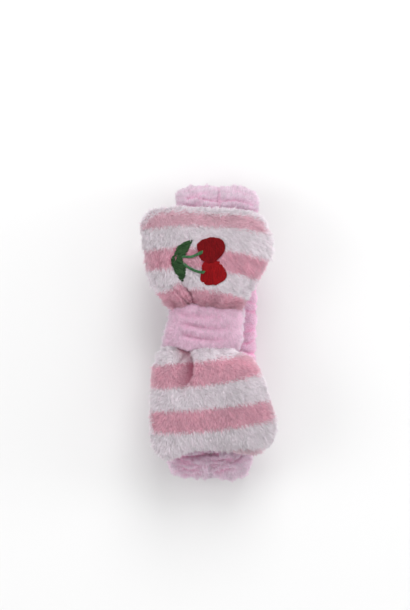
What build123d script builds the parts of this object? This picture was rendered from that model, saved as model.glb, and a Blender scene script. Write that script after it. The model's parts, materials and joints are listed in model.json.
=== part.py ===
"""Soft spa headband: an elasticated fleece loop, lying flat, with a striped two-lobed bow held by a knot.

Millimetres. X is across the band, Y along the flattened loop and Z up from the table. The back layer of
the loop lies on the table, the front layer is above it, and the bow lies on the front layer. The loop is
cut into short rigid lengths, so that it can bend open at its hinges and stretch at its slides.
"""

import os
from math import sqrt

from build123d import *

# ---- driving dimensions ----
LOOP_LENGTH = 180.5  # the flattened loop, fold to fold
BAND_WIDTH = 51.4
BAND_THICKNESS = 9.0  # one padded layer
HEAD_GAP = 14.0  # between the two layers, where the head goes
BAND_X = 3.4  # the band's centre line: the bow hangs further out on the left
JOIN_GAP = 0.3  # between lengths that move apart
HINGE_Y = 28.0  # where a layer bends when the loop opens
SLIDE_Y = 50.0  # where a layer parts when the loop stretches
CREASE_DEPTH = 2.0  # of the groove that the centre stitching pulls in

ELASTIC_WIDTH = 30.0
ELASTIC_THICKNESS = 1.2
ELASTIC_ROOM = 0.2  # slack around the elastic inside the fleece

KNOT_X = -3.0
KNOT_Y = 2.9
KNOT_WIDTH = 48.5
KNOT_LENGTH = 27.6  # along the band
KNOT_FLEECE = 4.0
KNOT_FIT = 0.35
WAIST_WIDTH = 39.0
WAIST_THICKNESS = 8.6
PINCH_WIDTH = 40.0  # the front layer inside the knot

LOBE_THICKNESS = 14.0
LOBE_EDGE = 6.2
LOBE_LIFT = 0.4  # clear of the band below
LOBE_KNOT_GAP = 0.5
PANEL_FLEECE = 3.2
THREAD_HEIGHT = 1.0

STITCH_COUNT = 9  # hand stitches that close the knot strip under the band
STITCH_LENGTH = 3.2
STITCH_THICKNESS = 0.5

# ---- worked out ----
FRONT_LOW = BAND_THICKNESS + HEAD_GAP
FRONT_TOP = FRONT_LOW + BAND_THICKNESS
FOLD_RADIUS = FRONT_TOP / 2
FOLD_Y = LOOP_LENGTH / 2 - FOLD_RADIUS
HALF_GAP = JOIN_GAP / 2
LAYER_MIDDLES = {"back": BAND_THICKNESS / 2, "front": FRONT_LOW + BAND_THICKNESS / 2}
WAIST_LOW = FRONT_TOP + KNOT_FIT
WAIST_TOP = WAIST_LOW + WAIST_THICKNESS
LOBE_LOW = FRONT_TOP + LOBE_LIFT
LOBE_TOP = LOBE_LOW + LOBE_THICKNESS
LOBE_SEAM = (LOBE_LOW + LOBE_TOP) / 2
SIDES = {"top": 1, "bottom": -1}
KNOT_EDGES = {"upper": KNOT_Y + KNOT_LENGTH / 2, "lower": KNOT_Y - KNOT_LENGTH / 2}
BIG = 400.0

made = {}


def save(name, shape):
    """Writes one node, and keeps it for the printed list."""
    made[name] = shape
    export_step(shape, f"parts/{name}.step")


# ---- the loop: fleece and elastic ----
def band_section():
    """The padded layer's cross-section, about its own middle: two puffs that the stitching divides."""
    radius = BAND_THICKNESS / 2 - 0.01
    notch = sqrt(radius**2 - (radius - CREASE_DEPTH) ** 2)
    puff_width = BAND_WIDTH / 2 - notch + radius
    puff_x = BAND_WIDTH / 2 - puff_width / 2
    puff = RectangleRounded(puff_width, BAND_THICKNESS, radius)
    return Pos(puff_x, 0) * puff + Pos(-puff_x, 0) * puff


def elastic_section(room):
    return Rectangle(ELASTIC_WIDTH + 2 * room, ELASTIC_THICKNESS + 2 * room)


def run(section, y_low, y_high, z_middle):
    """A section drawn straight along the loop, from y_low to y_high."""
    plane = Plane(origin=(BAND_X, y_low, z_middle), x_dir=(-1, 0, 0), z_dir=(0, 1, 0))
    return extrude(plane * section, y_high - y_low)


def half_turn(section, side):
    """A section swept round the fold, from the front layer to the back one."""
    plane = Plane(origin=(BAND_X, side * FOLD_Y, LAYER_MIDDLES["front"]), x_dir=(-1, 0, 0), z_dir=(0, 1, 0))
    axis = Axis((BAND_X, side * FOLD_Y, FOLD_RADIUS), (-side, 0, 0))
    return revolve(plane * section, axis, 180)


def fold_roller(side, radius):
    """The round space about the fold, as wide as anything in the band."""
    centre = (BAND_X, side * FOLD_Y, FOLD_RADIUS)
    return extrude(Plane(origin=centre, x_dir=(0, 1, 0), z_dir=(1, 0, 0)) * Circle(radius), BIG / 4, both=True)


def layer_span(side, near, far):
    """The y limits of a straight length, less half a gap at each end."""
    low, high = sorted((side * (near + HALF_GAP), side * (far - HALF_GAP)))
    return low, high


def straight_length(layer, side, near, far):
    """(fleece, elastic) of a straight length of one layer."""
    low, high = layer_span(side, near, far)
    middle = LAYER_MIDDLES[layer]
    fleece = run(band_section(), low, high, middle) - run(elastic_section(ELASTIC_ROOM), low, high, middle)
    return fleece, run(elastic_section(0), low, high, middle)


def back_outer(side):
    """The back layer's outer length: its end is hollowed to turn about the fold."""
    fleece, elastic = straight_length("back", side, SLIDE_Y, FOLD_Y)
    clearance = fold_roller(side, FOLD_RADIUS + JOIN_GAP)
    return fleece - clearance, elastic - clearance


def front_outer(side):
    """The front layer's outer length, with the half turn and the start of the back layer below it."""
    low, high = sorted((side * (SLIDE_Y + HALF_GAP), side * FOLD_Y))
    hook_low, hook_high = sorted((side * (FOLD_Y - FOLD_RADIUS), side * FOLD_Y))
    roller = fold_roller(side, FOLD_RADIUS)

    def whole(section):
        straight = run(section, low, high, LAYER_MIDDLES["front"])
        hook = run(section, hook_low, hook_high, LAYER_MIDDLES["back"]) & roller
        return straight + half_turn(section, side) + hook

    return whole(band_section()) - whole(elastic_section(ELASTIC_ROOM)), whole(elastic_section(0))


def front_centre(side):
    """Half of the front layer's middle, pinched in where the knot holds it. The halves part under the knot."""
    start = KNOT_Y + side * HALF_GAP
    throat = KNOT_Y + side * (KNOT_LENGTH / 2 + 0.5)
    end = side * (HINGE_Y - HALF_GAP)
    pinch, full = PINCH_WIDTH / 2, BAND_WIDTH / 2
    outline = Polyline(
        (KNOT_X - pinch, start),
        (KNOT_X - pinch, throat),
        (BAND_X - full, end),
        (BAND_X + full, end),
        (KNOT_X + pinch, throat),
        (KNOT_X + pinch, start),
        close=True,
    )
    block = extrude(Pos(0, 0, FRONT_LOW) * make_face(outline), BAND_THICKNESS)
    long_edges = block.edges().filter_by(lambda e: abs(e.tangent_at(0.5).Z) < 0.1).filter_by(
        lambda e: abs(e.tangent_at(0.5).Y) > 0.5
    )
    block = fillet(long_edges, BAND_THICKNESS * 0.4)
    low, high = sorted((start, end))
    middle = LAYER_MIDDLES["front"]
    slot = Pos(KNOT_X - BAND_X, 0, 0) * run(elastic_section(ELASTIC_ROOM), low, high, middle)
    return block - slot, Pos(KNOT_X - BAND_X, 0, 0) * run(elastic_section(0), low, high, middle)


def make_loop():
    """Writes the loop's fleece and elastic, one node of each for every length that moves by itself."""
    half = HINGE_Y - HALF_GAP
    middle = LAYER_MIDDLES["back"]
    slot = run(elastic_section(ELASTIC_ROOM), -half, half, middle)
    save("band_back_centre", run(band_section(), -half, half, middle) - slot)
    save("elastic_back_centre", run(elastic_section(0), -half, half, middle))
    for end, side in SIDES.items():
        lengths = {
            "back_inner": straight_length("back", side, HINGE_Y, SLIDE_Y),
            "back_outer": back_outer(side),
            "front_outer": front_outer(side),
            "front_inner": straight_length("front", side, HINGE_Y, SLIDE_Y),
            "front_centre": front_centre(side),
        }
        for place, (fleece, elastic) in lengths.items():
            save(f"band_{place}_{end}", fleece)
            save(f"elastic_{place}_{end}", elastic)


# ---- the knot and the bow's waist ----
def cross_block(x, width, low, top, length, radius):
    """A rounded bar through the knot, lying along the band."""
    plane = Plane(origin=(x, KNOT_Y - length / 2, (low + top) / 2), x_dir=(-1, 0, 0), z_dir=(0, 1, 0))
    return extrude(plane * RectangleRounded(width, top - low, radius), length)


def closing_stitches(face_z):
    """A row of short stitches along the band, under the knot strip's own join."""
    pitch = (KNOT_LENGTH - 4) / (STITCH_COUNT - 1)
    first = KNOT_Y - pitch * (STITCH_COUNT - 1) / 2
    stitches = [
        Pos(KNOT_X, first + i * pitch, face_z - STITCH_THICKNESS / 2)
        * Box(STITCH_LENGTH, STITCH_THICKNESS * 2, STITCH_THICKNESS)
        for i in range(STITCH_COUNT)
    ]
    return Compound(stitches)


def make_knot():
    """Writes the knot strip that wraps the waist and the front layer, its closing stitches, and the waist."""
    room_low = FRONT_LOW - KNOT_FIT
    room_top = WAIST_TOP + KNOT_FIT
    room_width = KNOT_WIDTH - 2 * KNOT_FLEECE
    save("knot_closing_stitches", closing_stitches(room_low - KNOT_FLEECE))
    outer = cross_block(KNOT_X, KNOT_WIDTH, room_low - KNOT_FLEECE, room_top + KNOT_FLEECE, KNOT_LENGTH, 9.0)
    room = cross_block(KNOT_X, room_width, room_low, room_top, KNOT_LENGTH + 2, 1.5)
    save("knot_strip", outer - room)
    save("bow_waist", cross_block(KNOT_X, WAIST_WIDTH, WAIST_LOW, WAIST_TOP, KNOT_LENGTH - 0.4, 4.0))


# ---- the bow's lobes ----
UPPER_CORNERS = [
    ((-18.0, KNOT_EDGES["upper"] + LOBE_KNOT_GAP), 8.0),
    ((-38.0, 33.0), 20.0),
    ((-43.7, 60.0), 16.0),
    ((-36.0, 75.6), 12.0),
    ((29.0, 74.0), 10.0),
    ((40.0, 50.0), 14.0),
    ((16.0, KNOT_EDGES["upper"] + LOBE_KNOT_GAP), 8.0),
]
LOWER_CORNERS = [
    ((24.0, KNOT_EDGES["lower"] - LOBE_KNOT_GAP), 8.0),
    ((44.0, -48.0), 16.0),
    ((37.0, -71.0), 12.0),
    ((-33.5, -80.0), 12.0),
    ((-35.0, -34.0), 20.0),
    ((-27.0, KNOT_EDGES["lower"] - LOBE_KNOT_GAP), 8.0),
]


def lobe_face(corners):
    """A lobe's plan, its corners rounded."""
    points = [point for point, _ in corners]
    radii = [radius for _, radius in corners]
    return make_face(FilletPolyline(*points, radius=radii, close=True))


def pad(face, low, top, edge):
    """A flat pad on a plan, with its upper and lower rims rounded."""
    block = extrude(Pos(0, 0, low) * face, top - low)
    rims = block.edges().filter_by(lambda e: abs(e.tangent_at(0.5).Z) < 0.1)
    return fillet(rims, edge)


def make_lobe(name, corners):
    """Writes a lobe's front panel, back panel and wadding."""
    plan = lobe_face(corners)
    whole = pad(plan, LOBE_LOW, LOBE_TOP, LOBE_EDGE)
    wadding = pad(
        offset(plan, -PANEL_FLEECE), LOBE_LOW + PANEL_FLEECE, LOBE_TOP - PANEL_FLEECE, LOBE_EDGE - PANEL_FLEECE
    )
    cover = whole - wadding
    upper_half = Pos(0, 0, LOBE_SEAM + BIG / 2) * Box(BIG, BIG, BIG)
    save(f"{name}_lobe_front_panel", cover & upper_half)
    save(f"{name}_lobe_back_panel", cover - upper_half)
    save(f"{name}_lobe_wadding", wadding)


# ---- the cherries, raised from the upper lobe's front panel ----
CHERRIES = {"upper": (0.4, 51.0, 8.3, 7.4), "lower": (2.2, 36.3, 8.0, 7.6)}
STEMS = {
    "upper": [(-15.6, 45.8), (-10.5, 46.2), (-5.0, 49.2)],
    "lower": [(-15.8, 42.0), (-10.5, 38.0), (-4.0, 36.4)],
}
STEM_WIDTH = 1.6
LEAVES = {
    "upper": [(-11.6, 56.6), (-17.5, 47.5), (-22.6, 44.2), (-20.2, 53.0)],
    "lower": [(-18.0, 30.6), (-15.2, 38.0), (-17.2, 43.4), (-22.6, 43.8), (-21.0, 37.0)],
}


def stitched(face):
    """A patch of thread standing on the lobe's flat top."""
    return extrude(Pos(0, 0, LOBE_TOP) * face, THREAD_HEIGHT)


def cherry_face(x, y, half_width, half_height):
    return Pos(x, y) * Ellipse(half_width, half_height)


def make_cherries():
    """Writes the two cherries, two stems and two leaves."""
    upper = cherry_face(*CHERRIES["upper"])
    lower = cherry_face(*CHERRIES["lower"]) - upper
    leaf_faces = {name: make_face(Polyline(*points, close=True)) for name, points in LEAVES.items()}
    save("cherry_upper", stitched(upper))
    save("cherry_lower", stitched(lower))
    for name, points in STEMS.items():
        stem = trace(Spline(*points), STEM_WIDTH)
        save(f"cherry_stem_{name}", stitched(stem - upper - lower - leaf_faces["upper"] - leaf_faces["lower"]))
    for name, face in leaf_faces.items():
        save(f"cherry_leaf_{name}", stitched(face))


def main():
    os.makedirs("parts", exist_ok=True)
    make_loop()
    make_knot()
    make_lobe("upper", UPPER_CORNERS)
    make_lobe("lower", LOWER_CORNERS)
    make_cherries()
    box = Compound(children=list(made.values())).bounding_box()
    print(len(made), "nodes, from", tuple(round(v, 2) for v in box.min), "to", tuple(round(v, 2) for v in box.max))


main()
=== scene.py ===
"""The looks of a soft spa headband: coral fleece with a real pile, a padded bow and embroidered cherries.

Lengths are millimetres in the frame, and new_piece() turns them into metres. X is across the band, Y along
the flattened loop and Z up. Each fleece surface is a grid of points with tufts of pile standing on it. Both
are one mesh, so that the pile follows its fabric when that bends.
"""

import itertools
import json
import math

import bmesh
import bpy
import numpy as np
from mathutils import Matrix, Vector
from mathutils.bvhtree import BVHTree
from mathutils.kdtree import KDTree


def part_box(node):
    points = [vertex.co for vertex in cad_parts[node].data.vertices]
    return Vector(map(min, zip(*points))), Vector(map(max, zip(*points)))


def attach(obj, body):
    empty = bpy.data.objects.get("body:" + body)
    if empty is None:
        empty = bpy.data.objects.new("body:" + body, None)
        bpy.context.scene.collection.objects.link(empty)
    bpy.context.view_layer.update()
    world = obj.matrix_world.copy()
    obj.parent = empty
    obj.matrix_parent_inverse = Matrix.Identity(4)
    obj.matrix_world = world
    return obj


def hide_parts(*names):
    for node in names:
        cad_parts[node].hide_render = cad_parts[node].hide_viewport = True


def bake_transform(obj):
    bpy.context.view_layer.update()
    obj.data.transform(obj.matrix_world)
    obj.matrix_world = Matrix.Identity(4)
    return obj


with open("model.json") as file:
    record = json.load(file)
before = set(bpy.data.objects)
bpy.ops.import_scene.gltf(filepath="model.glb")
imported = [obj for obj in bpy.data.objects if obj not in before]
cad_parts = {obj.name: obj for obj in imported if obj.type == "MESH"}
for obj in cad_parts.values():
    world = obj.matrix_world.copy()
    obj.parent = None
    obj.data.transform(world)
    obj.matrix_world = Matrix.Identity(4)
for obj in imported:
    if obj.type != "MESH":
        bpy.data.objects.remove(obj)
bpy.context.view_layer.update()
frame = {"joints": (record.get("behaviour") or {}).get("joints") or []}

MM = 0.001


# ---- places, from the frame ----
def box_mm(node):
    low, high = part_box(node)
    return np.array(low) / MM, np.array(high) / MM


def joint_mm(name):
    joint = next(j for j in frame["joints"] if j["name"] == name)
    return np.array(joint["pos_m"]) / MM


BACK_LOW, BACK_HIGH = box_mm("band_back_centre")
FRONT_LOW, FRONT_HIGH = box_mm("band_front_inner_top")
ELASTIC_LOW, ELASTIC_HIGH = box_mm("elastic_back_centre")
KNOT_LOW, KNOT_HIGH = box_mm("knot_strip")
WAIST_LOW, WAIST_HIGH = box_mm("bow_waist")
STITCH_LOW, STITCH_HIGH = box_mm("knot_closing_stitches")
SEAM_Z = box_mm("upper_lobe_front_panel")[0][2]  # where a lobe's two panels meet

BAND_X, _, BACK_MIDDLE = (BACK_LOW + BACK_HIGH) / 2
BAND_HALF_WIDTH, _, BAND_HALF_THICKNESS = (BACK_HIGH - BACK_LOW) / 2
FRONT_MIDDLE = (FRONT_LOW[2] + FRONT_HIGH[2]) / 2
ELASTIC_HALF_WIDTH, _, ELASTIC_HALF_THICKNESS = (ELASTIC_HIGH - ELASTIC_LOW) / 2
FOLD_Y, FOLD_Z = joint_mm("fold_top")[1:]
FOLD_RADIUS = FRONT_MIDDLE - FOLD_Z  # of the layer's middle line
HINGE_Y = joint_mm("loop_open")[1]
KNOT_X, KNOT_Y, KNOT_Z = (KNOT_LOW + KNOT_HIGH) / 2
_, KNOT_HALF_LENGTH, KNOT_HALF_HEIGHT = (KNOT_HIGH - KNOT_LOW) / 2
WAIST_HALF_WIDTH, _, WAIST_HALF_HEIGHT = (WAIST_HIGH - WAIST_LOW) / 2
WAIST_Z = (WAIST_LOW[2] + WAIST_HIGH[2]) / 2
BAND_TOP = FRONT_HIGH[2]

PILE = 1.3  # how far the pile stands from its fabric


def metres(point):
    return [value * MM for value in point]


# ---- repeatable randomness ----
def lattice(cells, seed):
    """A fixed value from -1 to 1 for each whole-number cell."""
    n = (cells[..., 0] * 73856093) ^ (cells[..., 1] * 19349663) ^ (cells[..., 2] * 83492791) ^ (seed * 97531)
    n = ((n ^ (n >> 13)) * 1274126177) & 0x7FFFFFFF
    n = n ^ (n >> 15)
    return (n & 0xFFFF) / 32767.5 - 1


def noise(points, cell, seed):
    """Smooth noise from -1 to 1 at each point, over cells of that size."""
    scaled = np.asarray(points, float) / cell
    low = np.floor(scaled).astype(np.int64)
    t = scaled - low
    t = t * t * (3 - 2 * t)
    total = np.zeros(scaled.shape[:-1])
    for corner in map(np.array, itertools.product((0, 1), repeat=3)):
        total += np.prod(np.where(corner == 1, t, 1 - t), axis=-1) * lattice(low + corner, seed)
    return total


def smoothstep(value, low, high):
    t = np.clip((value - low) / (high - low), 0, 1)
    return t * t * (3 - 2 * t)


def unit(vectors):
    return vectors / (np.linalg.norm(vectors, axis=-1, keepdims=True) + 1e-12)


# ---- meshes ----
def placed(name, data):
    """A new object in the scene."""
    piece = bpy.data.objects.new(name, data)
    bpy.context.scene.collection.objects.link(piece)
    return piece


def new_piece(name, points, polygons, material, slot, values=None, normals=None):
    """A mesh from points in millimetres, arrays of polygons, and values and normals for each point."""
    mesh = bpy.data.meshes.new(name)
    corners = np.concatenate([p.ravel() for p in polygons])
    sizes = np.concatenate([np.full(len(p), p.shape[1]) for p in polygons])
    mesh.vertices.add(len(points))
    mesh.vertices.foreach_set("co", (points * MM).astype(np.float32).ravel())
    mesh.loops.add(len(corners))
    mesh.loops.foreach_set("vertex_index", corners.astype(np.int32))
    mesh.polygons.add(len(sizes))
    mesh.polygons.foreach_set("loop_start", np.concatenate([[0], sizes.cumsum()[:-1]]).astype(np.int32))
    mesh.update(calc_edges=True)
    mesh.shade_smooth()
    for value_name, value in (values or {}).items():
        attribute = mesh.attributes.new(value_name, "FLOAT", "POINT")
        attribute.data.foreach_set("value", value.astype(np.float32))
    if normals is not None:
        mesh.normals_split_custom_set_from_vertices(normals.astype(np.float32))
    mesh.materials.append(material)
    piece = placed(name, mesh)
    return piece


def grid_faces(rows, columns, wrap):
    """Quads between the points of a grid, whose columns close on themselves if wrap."""
    last = columns if wrap else columns - 1
    r, c = np.meshgrid(np.arange(rows - 1), np.arange(last), indexing="ij")
    right, here, below = (c + 1) % columns, r * columns, (r + 1) * columns
    return np.stack([here + c, here + right, below + right, below + c], -1).reshape(-1, 4)


def grid_normals(grid, wrap):
    down = np.gradient(grid, axis=0)
    across = np.roll(grid, -1, 1) - np.roll(grid, 1, 1) if wrap else np.gradient(grid, axis=1)
    return unit(np.cross(across, down))


class Fabric:
    """A grid of points with outward normals, and painted shade at each point, mostly in folds, from 0 to 1.
    """

    def __init__(self, grid, wrap, middle, fold=None):
        self.grid, self.wrap, self.middle = grid, wrap, middle
        normals = grid_normals(grid, wrap)
        self.flipped = ((grid - middle) * normals).sum() < 0
        self.normals = -normals if self.flipped else normals
        self.fold = np.zeros(grid.shape[:2]) if fold is None else fold

    def pushed(self, amount, fold):
        """The fabric moved out along its normals."""
        return Fabric(self.grid + self.normals * amount[..., None], self.wrap, self.middle, fold)

    def rows(self, rows):
        part = Fabric.__new__(Fabric)
        part.wrap, part.flipped = self.wrap, self.flipped
        part.grid, part.normals, part.fold = self.grid[rows], self.normals[rows], self.fold[rows]
        return part

    def faces(self):
        faces = grid_faces(*self.grid.shape[:2], self.wrap)
        return faces[:, ::-1] if self.flipped else faces

    def cap(self):
        """(triangles, centre point, its normal) of the fan that closes the hole inside the first ring."""
        columns = self.grid.shape[1]
        k = np.arange(columns)
        fan = np.stack([(k + 1) % columns, k, np.full(columns, self.grid.size // 3)], 1)
        fan = fan[:, ::-1] if self.flipped else fan
        return fan, self.grid[0].mean(0), unit(self.normals[0].mean(0))


# ---- pile ----
TUFT_LENGTH = 2.3
TUFT_WIDTH = 0.42
TUFT_SINK = 0.2  # how far a tuft's root is down in the fabric
TUFT_BEND = 0.45  # the share of its length at which a tuft bends over
FOLD_SHEAR = 0.75  # how much shorter the pile is deep in a fold
STRIPE_MIX = 0.8  # how far tufts of one stripe stand among those of the next
STRAY_SHARE = 0.2  # of the tufts, which stand up and make the outline fuzzy
LEAN_WAVES = ((0.26, 9.0, 0), (0.38, 1.8, 10))  # how much the lean wanders, over what cells, and a seed
LEAN_SCATTER = 0.18  # from tuft to tuft
TUFT_SIZES = (0.7, 0.6)  # the least share of the length, and how much more it can be
LOCK_SIZES = (0.2, 0.6)  # how much a lock swells everywhere, and how much more on upright sides
LOCK_CELL = 1.6
STRAY_SIZE = 0.2  # how much longer and thinner a stray tuft is
LIFT = {"least": 0.5, "scatter": 0.2, "lock": 0.25, "stray": 0.9, "edge": 0.8}  # how steeply tufts stand
TIP_DROOP = 0.35  # the share of that left at the tip
SIDE_SCATTER = 0.15
TIP_WIDTH = 0.9  # of a blade at its bend, over its width at the root
BLADE_HEIGHTS = (0.0, 0.0, 0.6, 0.6, 1.0)  # of a blade's five points, for its colour
STREAK = (1.3, 0.75)  # the cell of the light and dark streaks, and how stretched they are
PATCH = (5.0, 0.3)  # the cell and the strength of wider patches
SHADE_SCATTER = 0.25
FABRIC_SHARE = 0.62  # of the fabric's own normal in a tuft's, which makes the pile look soft


def fixed_lean(x, y, z):
    """A pile's lean that is the same everywhere, as a function of place."""
    return lambda points: np.broadcast_to(np.array((x, y, z), float), points.shape)


class Pile:
    """Tufts on fabric: bent blades that lean with their neighbours, as the locks of fleece do.

    The density is in tufts per square millimetre. The lean is a function of place, and so may the painted
    shade be, which darkens the pile, or lightens it as painted light where it is below 0.
    """

    def __init__(self, density, lean, seed, length=TUFT_LENGTH, width=TUFT_WIDTH, painted_shade=0.0):
        self.density, self.lean, self.seed = density, lean, seed
        self.length, self.width, self.painted_shade = length, width, painted_shade
        self.random = np.random.default_rng(seed)

    def roots(self, fabric, keep):
        """Points spread evenly by area, with their normals and the painted shade of their folds."""
        faces = fabric.faces()
        points, directions = fabric.grid.reshape(-1, 3), fabric.normals.reshape(-1, 3)
        a, b, c, d = (points[faces[:, k]] for k in range(4))
        reach = (np.linalg.norm(np.cross(c - a, d - b), axis=1) / 2).cumsum()
        count = int(reach[-1] * self.density)
        marks = (np.arange(count) + self.random.random(count)) * reach[-1] / count
        corners = faces[np.minimum(np.searchsorted(reach, marks), len(faces) - 1)]
        s, t = self.random.random((2, count))
        weights = np.stack([(1 - s) * (1 - t), s * (1 - t), s * t, (1 - s) * t], 1)
        root = (points[corners] * weights[..., None]).sum(1)
        normal = unit((directions[corners] * weights[..., None]).sum(1))
        fold = (fabric.fold.reshape(-1)[corners] * weights).sum(1)
        kept = np.ones(count, bool) if keep is None else keep(root)
        return root[kept], normal[kept], fold[kept]

    def lie(self, root, normal):
        """The way each tuft leans, along the fabric."""
        count, lie = len(root), self.lean(root)
        for strength, cell, seed in LEAN_WAVES:
            lie = lie + strength * np.stack([noise(root, cell, self.seed + seed + k) for k in range(3)], 1)
        lie = lie + self.random.normal(0, LEAN_SCATTER, (count, 3))
        return unit(lie - normal * (lie * normal).sum(1, keepdims=True))

    def shade(self, root, lie):
        """Lightness of each tuft, in streaks that run the way the pile lies, less its painted shade."""
        painted_shade = self.painted_shade(root) if callable(self.painted_shade) else self.painted_shade
        flow = unit(lie.mean(0))
        squeezed = root - flow * (root @ flow)[:, None] * STREAK[1]
        streak = noise(squeezed, STREAK[0], self.seed + 31) + PATCH[1] * noise(root, PATCH[0], self.seed + 33)
        scatter = SHADE_SCATTER * self.random.normal(0, 1, len(root))
        return np.clip(0.5 + 0.5 * streak + scatter, 0, 1) - painted_shade

    def tufts(self, fabric, tint, keep=None):
        """(points, quads, triangles, values, normals) of the tufts."""
        root, normal, fold = self.roots(fabric, keep)
        count, lie = len(root), self.lie(root, normal)
        stray = (self.random.random((count, 1)) < STRAY_SHARE).astype(float)
        lock = noise(root * (1, 1, 0.25), LOCK_CELL, self.seed + 21)[:, None]  # neighbours stand together
        edge = (1 - np.abs(normal[:, 2:])) ** 2  # 1 on upright sides, where the pile isn't pressed flat
        size = self.length * (TUFT_SIZES[0] + TUFT_SIZES[1] * self.random.random((count, 1)))
        size = size * (1 - FOLD_SHEAR * fold[:, None])
        size = size * (1 + (LOCK_SIZES[0] + LOCK_SIZES[1] * edge) * lock) * (1 + STRAY_SIZE * stray)
        half = self.width / 2 * (1 - STRAY_SIZE * stray)
        lift = LIFT["least"] + LIFT["scatter"] * self.random.random((count, 1))
        lift = lift + LIFT["lock"] * lock + LIFT["stray"] * stray + LIFT["edge"] * edge
        rise, droop = unit(lift * normal + lie), unit(TIP_DROOP * lift * normal + lie)
        middle = root + rise * size * TUFT_BEND
        tip = middle + droop * size * (1 - TUFT_BEND)
        side = unit(np.cross(normal, lie) + SIDE_SCATTER * self.random.normal(0, 1, (count, 3)))
        side = side * np.sign((np.cross(side, rise) * normal).sum(1, keepdims=True))
        base, wide, narrow = root - normal * TUFT_SINK, side * half, side * half * TIP_WIDTH
        points = np.stack([base - wide, base + wide, middle - narrow, middle + narrow, tip], 1)
        first = np.arange(count)[:, None] * 5
        share = FABRIC_SHARE * (1 - 0.5 * stray)
        low, high = (unit(share * normal + (1 - share) * unit(np.cross(side, way))) for way in (rise, droop))
        mixed = root[:, :2] + self.random.normal(0, STRIPE_MIX, (count, 2))
        values = {
            "height": np.tile(BLADE_HEIGHTS, count),
            "tint": np.repeat(tint(*mixed.T), 5),
            "shade": np.repeat(self.shade(root, lie), 5),
            "fold": np.repeat(fold, 5),
        }
        normals = np.stack([low, low, low, low, high], 1).reshape(-1, 3)
        return points.reshape(-1, 3), first + [[0, 1, 3, 2]], first + [[2, 3, 4]], values, normals


def no_tint(x, y):
    return np.zeros(np.shape(x))


def fleece_piece(name, fabric, pile, material, slot, tint=no_tint, keep=None, floor=None, capped=False):
    """A piece of fleece: the fabric's own surface and its pile as one mesh."""
    base, faces = fabric.grid.reshape(-1, 3), fabric.faces()
    base_normals, fold = fabric.normals.reshape(-1, 3), fabric.fold.reshape(-1)
    polygons = [faces]
    if capped:
        fan, centre, up = fabric.cap()
        base, base_normals = np.concatenate([base, [centre]]), np.concatenate([base_normals, [up]])
        fold = np.append(fold, fabric.fold[0].mean())
        polygons.append(fan)
    tuft_points, quads, triangles, values, tuft_normals = pile.tufts(fabric, tint, keep)
    points, normals = np.concatenate([base, tuft_points]), np.concatenate([base_normals, tuft_normals])
    if floor is not None:
        points[:, 2] = np.maximum(points[:, 2], floor)
    own = {
        "height": np.zeros(len(base)), "tint": tint(base[:, 0], base[:, 1]),
        "shade": np.full(len(base), 0.5), "fold": fold,
    }
    joined = {key: np.concatenate([own[key], values[key]]) for key in own}
    polygons += [quads + len(base), triangles + len(base)]
    return new_piece(name, points, polygons, material, slot, joined, normals)


# ---- materials ----
def new_material(name, settings):
    """(material, node tree, shader), with these values on the shader's own sockets."""
    material = bpy.data.materials.new(name)
    material.use_nodes = True
    shader = material.node_tree.nodes["Principled BSDF"]
    for socket, value in settings.items():
        shader.inputs[socket].default_value = value
    return material, material.node_tree, shader


def fill_socket(tree, socket, value):
    """Sets a socket to a number or a colour, or links it to the output of another node."""
    if isinstance(value, (int, float)):
        socket.default_value = value
    elif isinstance(value, tuple):
        socket.default_value = (*value, 1.0)
    else:
        tree.links.new(value, socket)


def attribute_node(tree, name):
    node = tree.nodes.new("ShaderNodeAttribute")
    node.attribute_name = name
    return node.outputs["Fac"]


def math_node(tree, operation, *values):
    node = tree.nodes.new("ShaderNodeMath")
    node.operation = operation
    for socket, value in zip(node.inputs, values):
        fill_socket(tree, socket, value)
    return node.outputs[0]


def mix_node(tree, factor, a, b, blend="MIX"):
    node = tree.nodes.new("ShaderNodeMix")
    node.data_type = "RGBA"
    node.blend_type = blend
    for socket, value in ((0, factor), (6, a), (7, b)):
        fill_socket(tree, node.inputs[socket], value)
    return node.outputs[2]


def noise_node(tree, scale, detail=3.0):
    """Noise from 0 to 1 in the object's own space, so that it doesn't slide in other views."""
    place = tree.nodes.new("ShaderNodeTexCoord")
    node = tree.nodes.new("ShaderNodeTexNoise")
    node.inputs["Scale"].default_value = scale
    node.inputs["Detail"].default_value = detail
    tree.links.new(place.outputs["Object"], node.inputs["Vector"])
    return node.outputs["Fac"]


def bump(tree, shader, height, strength, distance):
    node = tree.nodes.new("ShaderNodeBump")
    node.inputs["Strength"].default_value = strength
    node.inputs["Distance"].default_value = distance
    tree.links.new(height, node.inputs["Height"])
    tree.links.new(node.outputs["Normal"], shader.inputs["Normal"])


# each pile's colour at its tips; at its roots, painted shade down in the pile; and in folds, painted shade
PALE_PINK = {"tip": (0.89, 0.755, 0.855), "root": (0.84, 0.59, 0.74), "fold": (0.95, 0.42, 0.66)}
ROSE = {"tip": (0.81, 0.45, 0.55), "root": (0.69, 0.29, 0.39), "fold": (0.44, 0.12, 0.19)}
OFF_WHITE = {"tip": (0.87, 0.80, 0.85), "root": (0.76, 0.66, 0.72), "fold": (0.58, 0.36, 0.43)}
FLEECE = {
    "Roughness": 0.95, "Specular IOR Level": 0.08, "Sheen Weight": 0.45, "Sheen Roughness": 0.5,
    "Subsurface Weight": 0.35, "Subsurface Radius": (1.0, 0.75, 0.85), "Subsurface Scale": 0.0012,
}
TUFT_SHADES = (0.22, 0.84)  # how much the lightness ranges from tuft to tuft, with each pile's painted shade or light, and its lowest
PATCH_SHADES = (0.12, 0.93)  # the same from patch to patch
PATCH_SCALE, FIBRE_SCALE, TWIST_SCALE = 130.0, 1600.0, 3000.0


def pile_colour(tree, colours, height, fold):
    return mix_node(tree, fold, mix_node(tree, height, colours["root"], colours["tip"]), colours["fold"])


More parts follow.
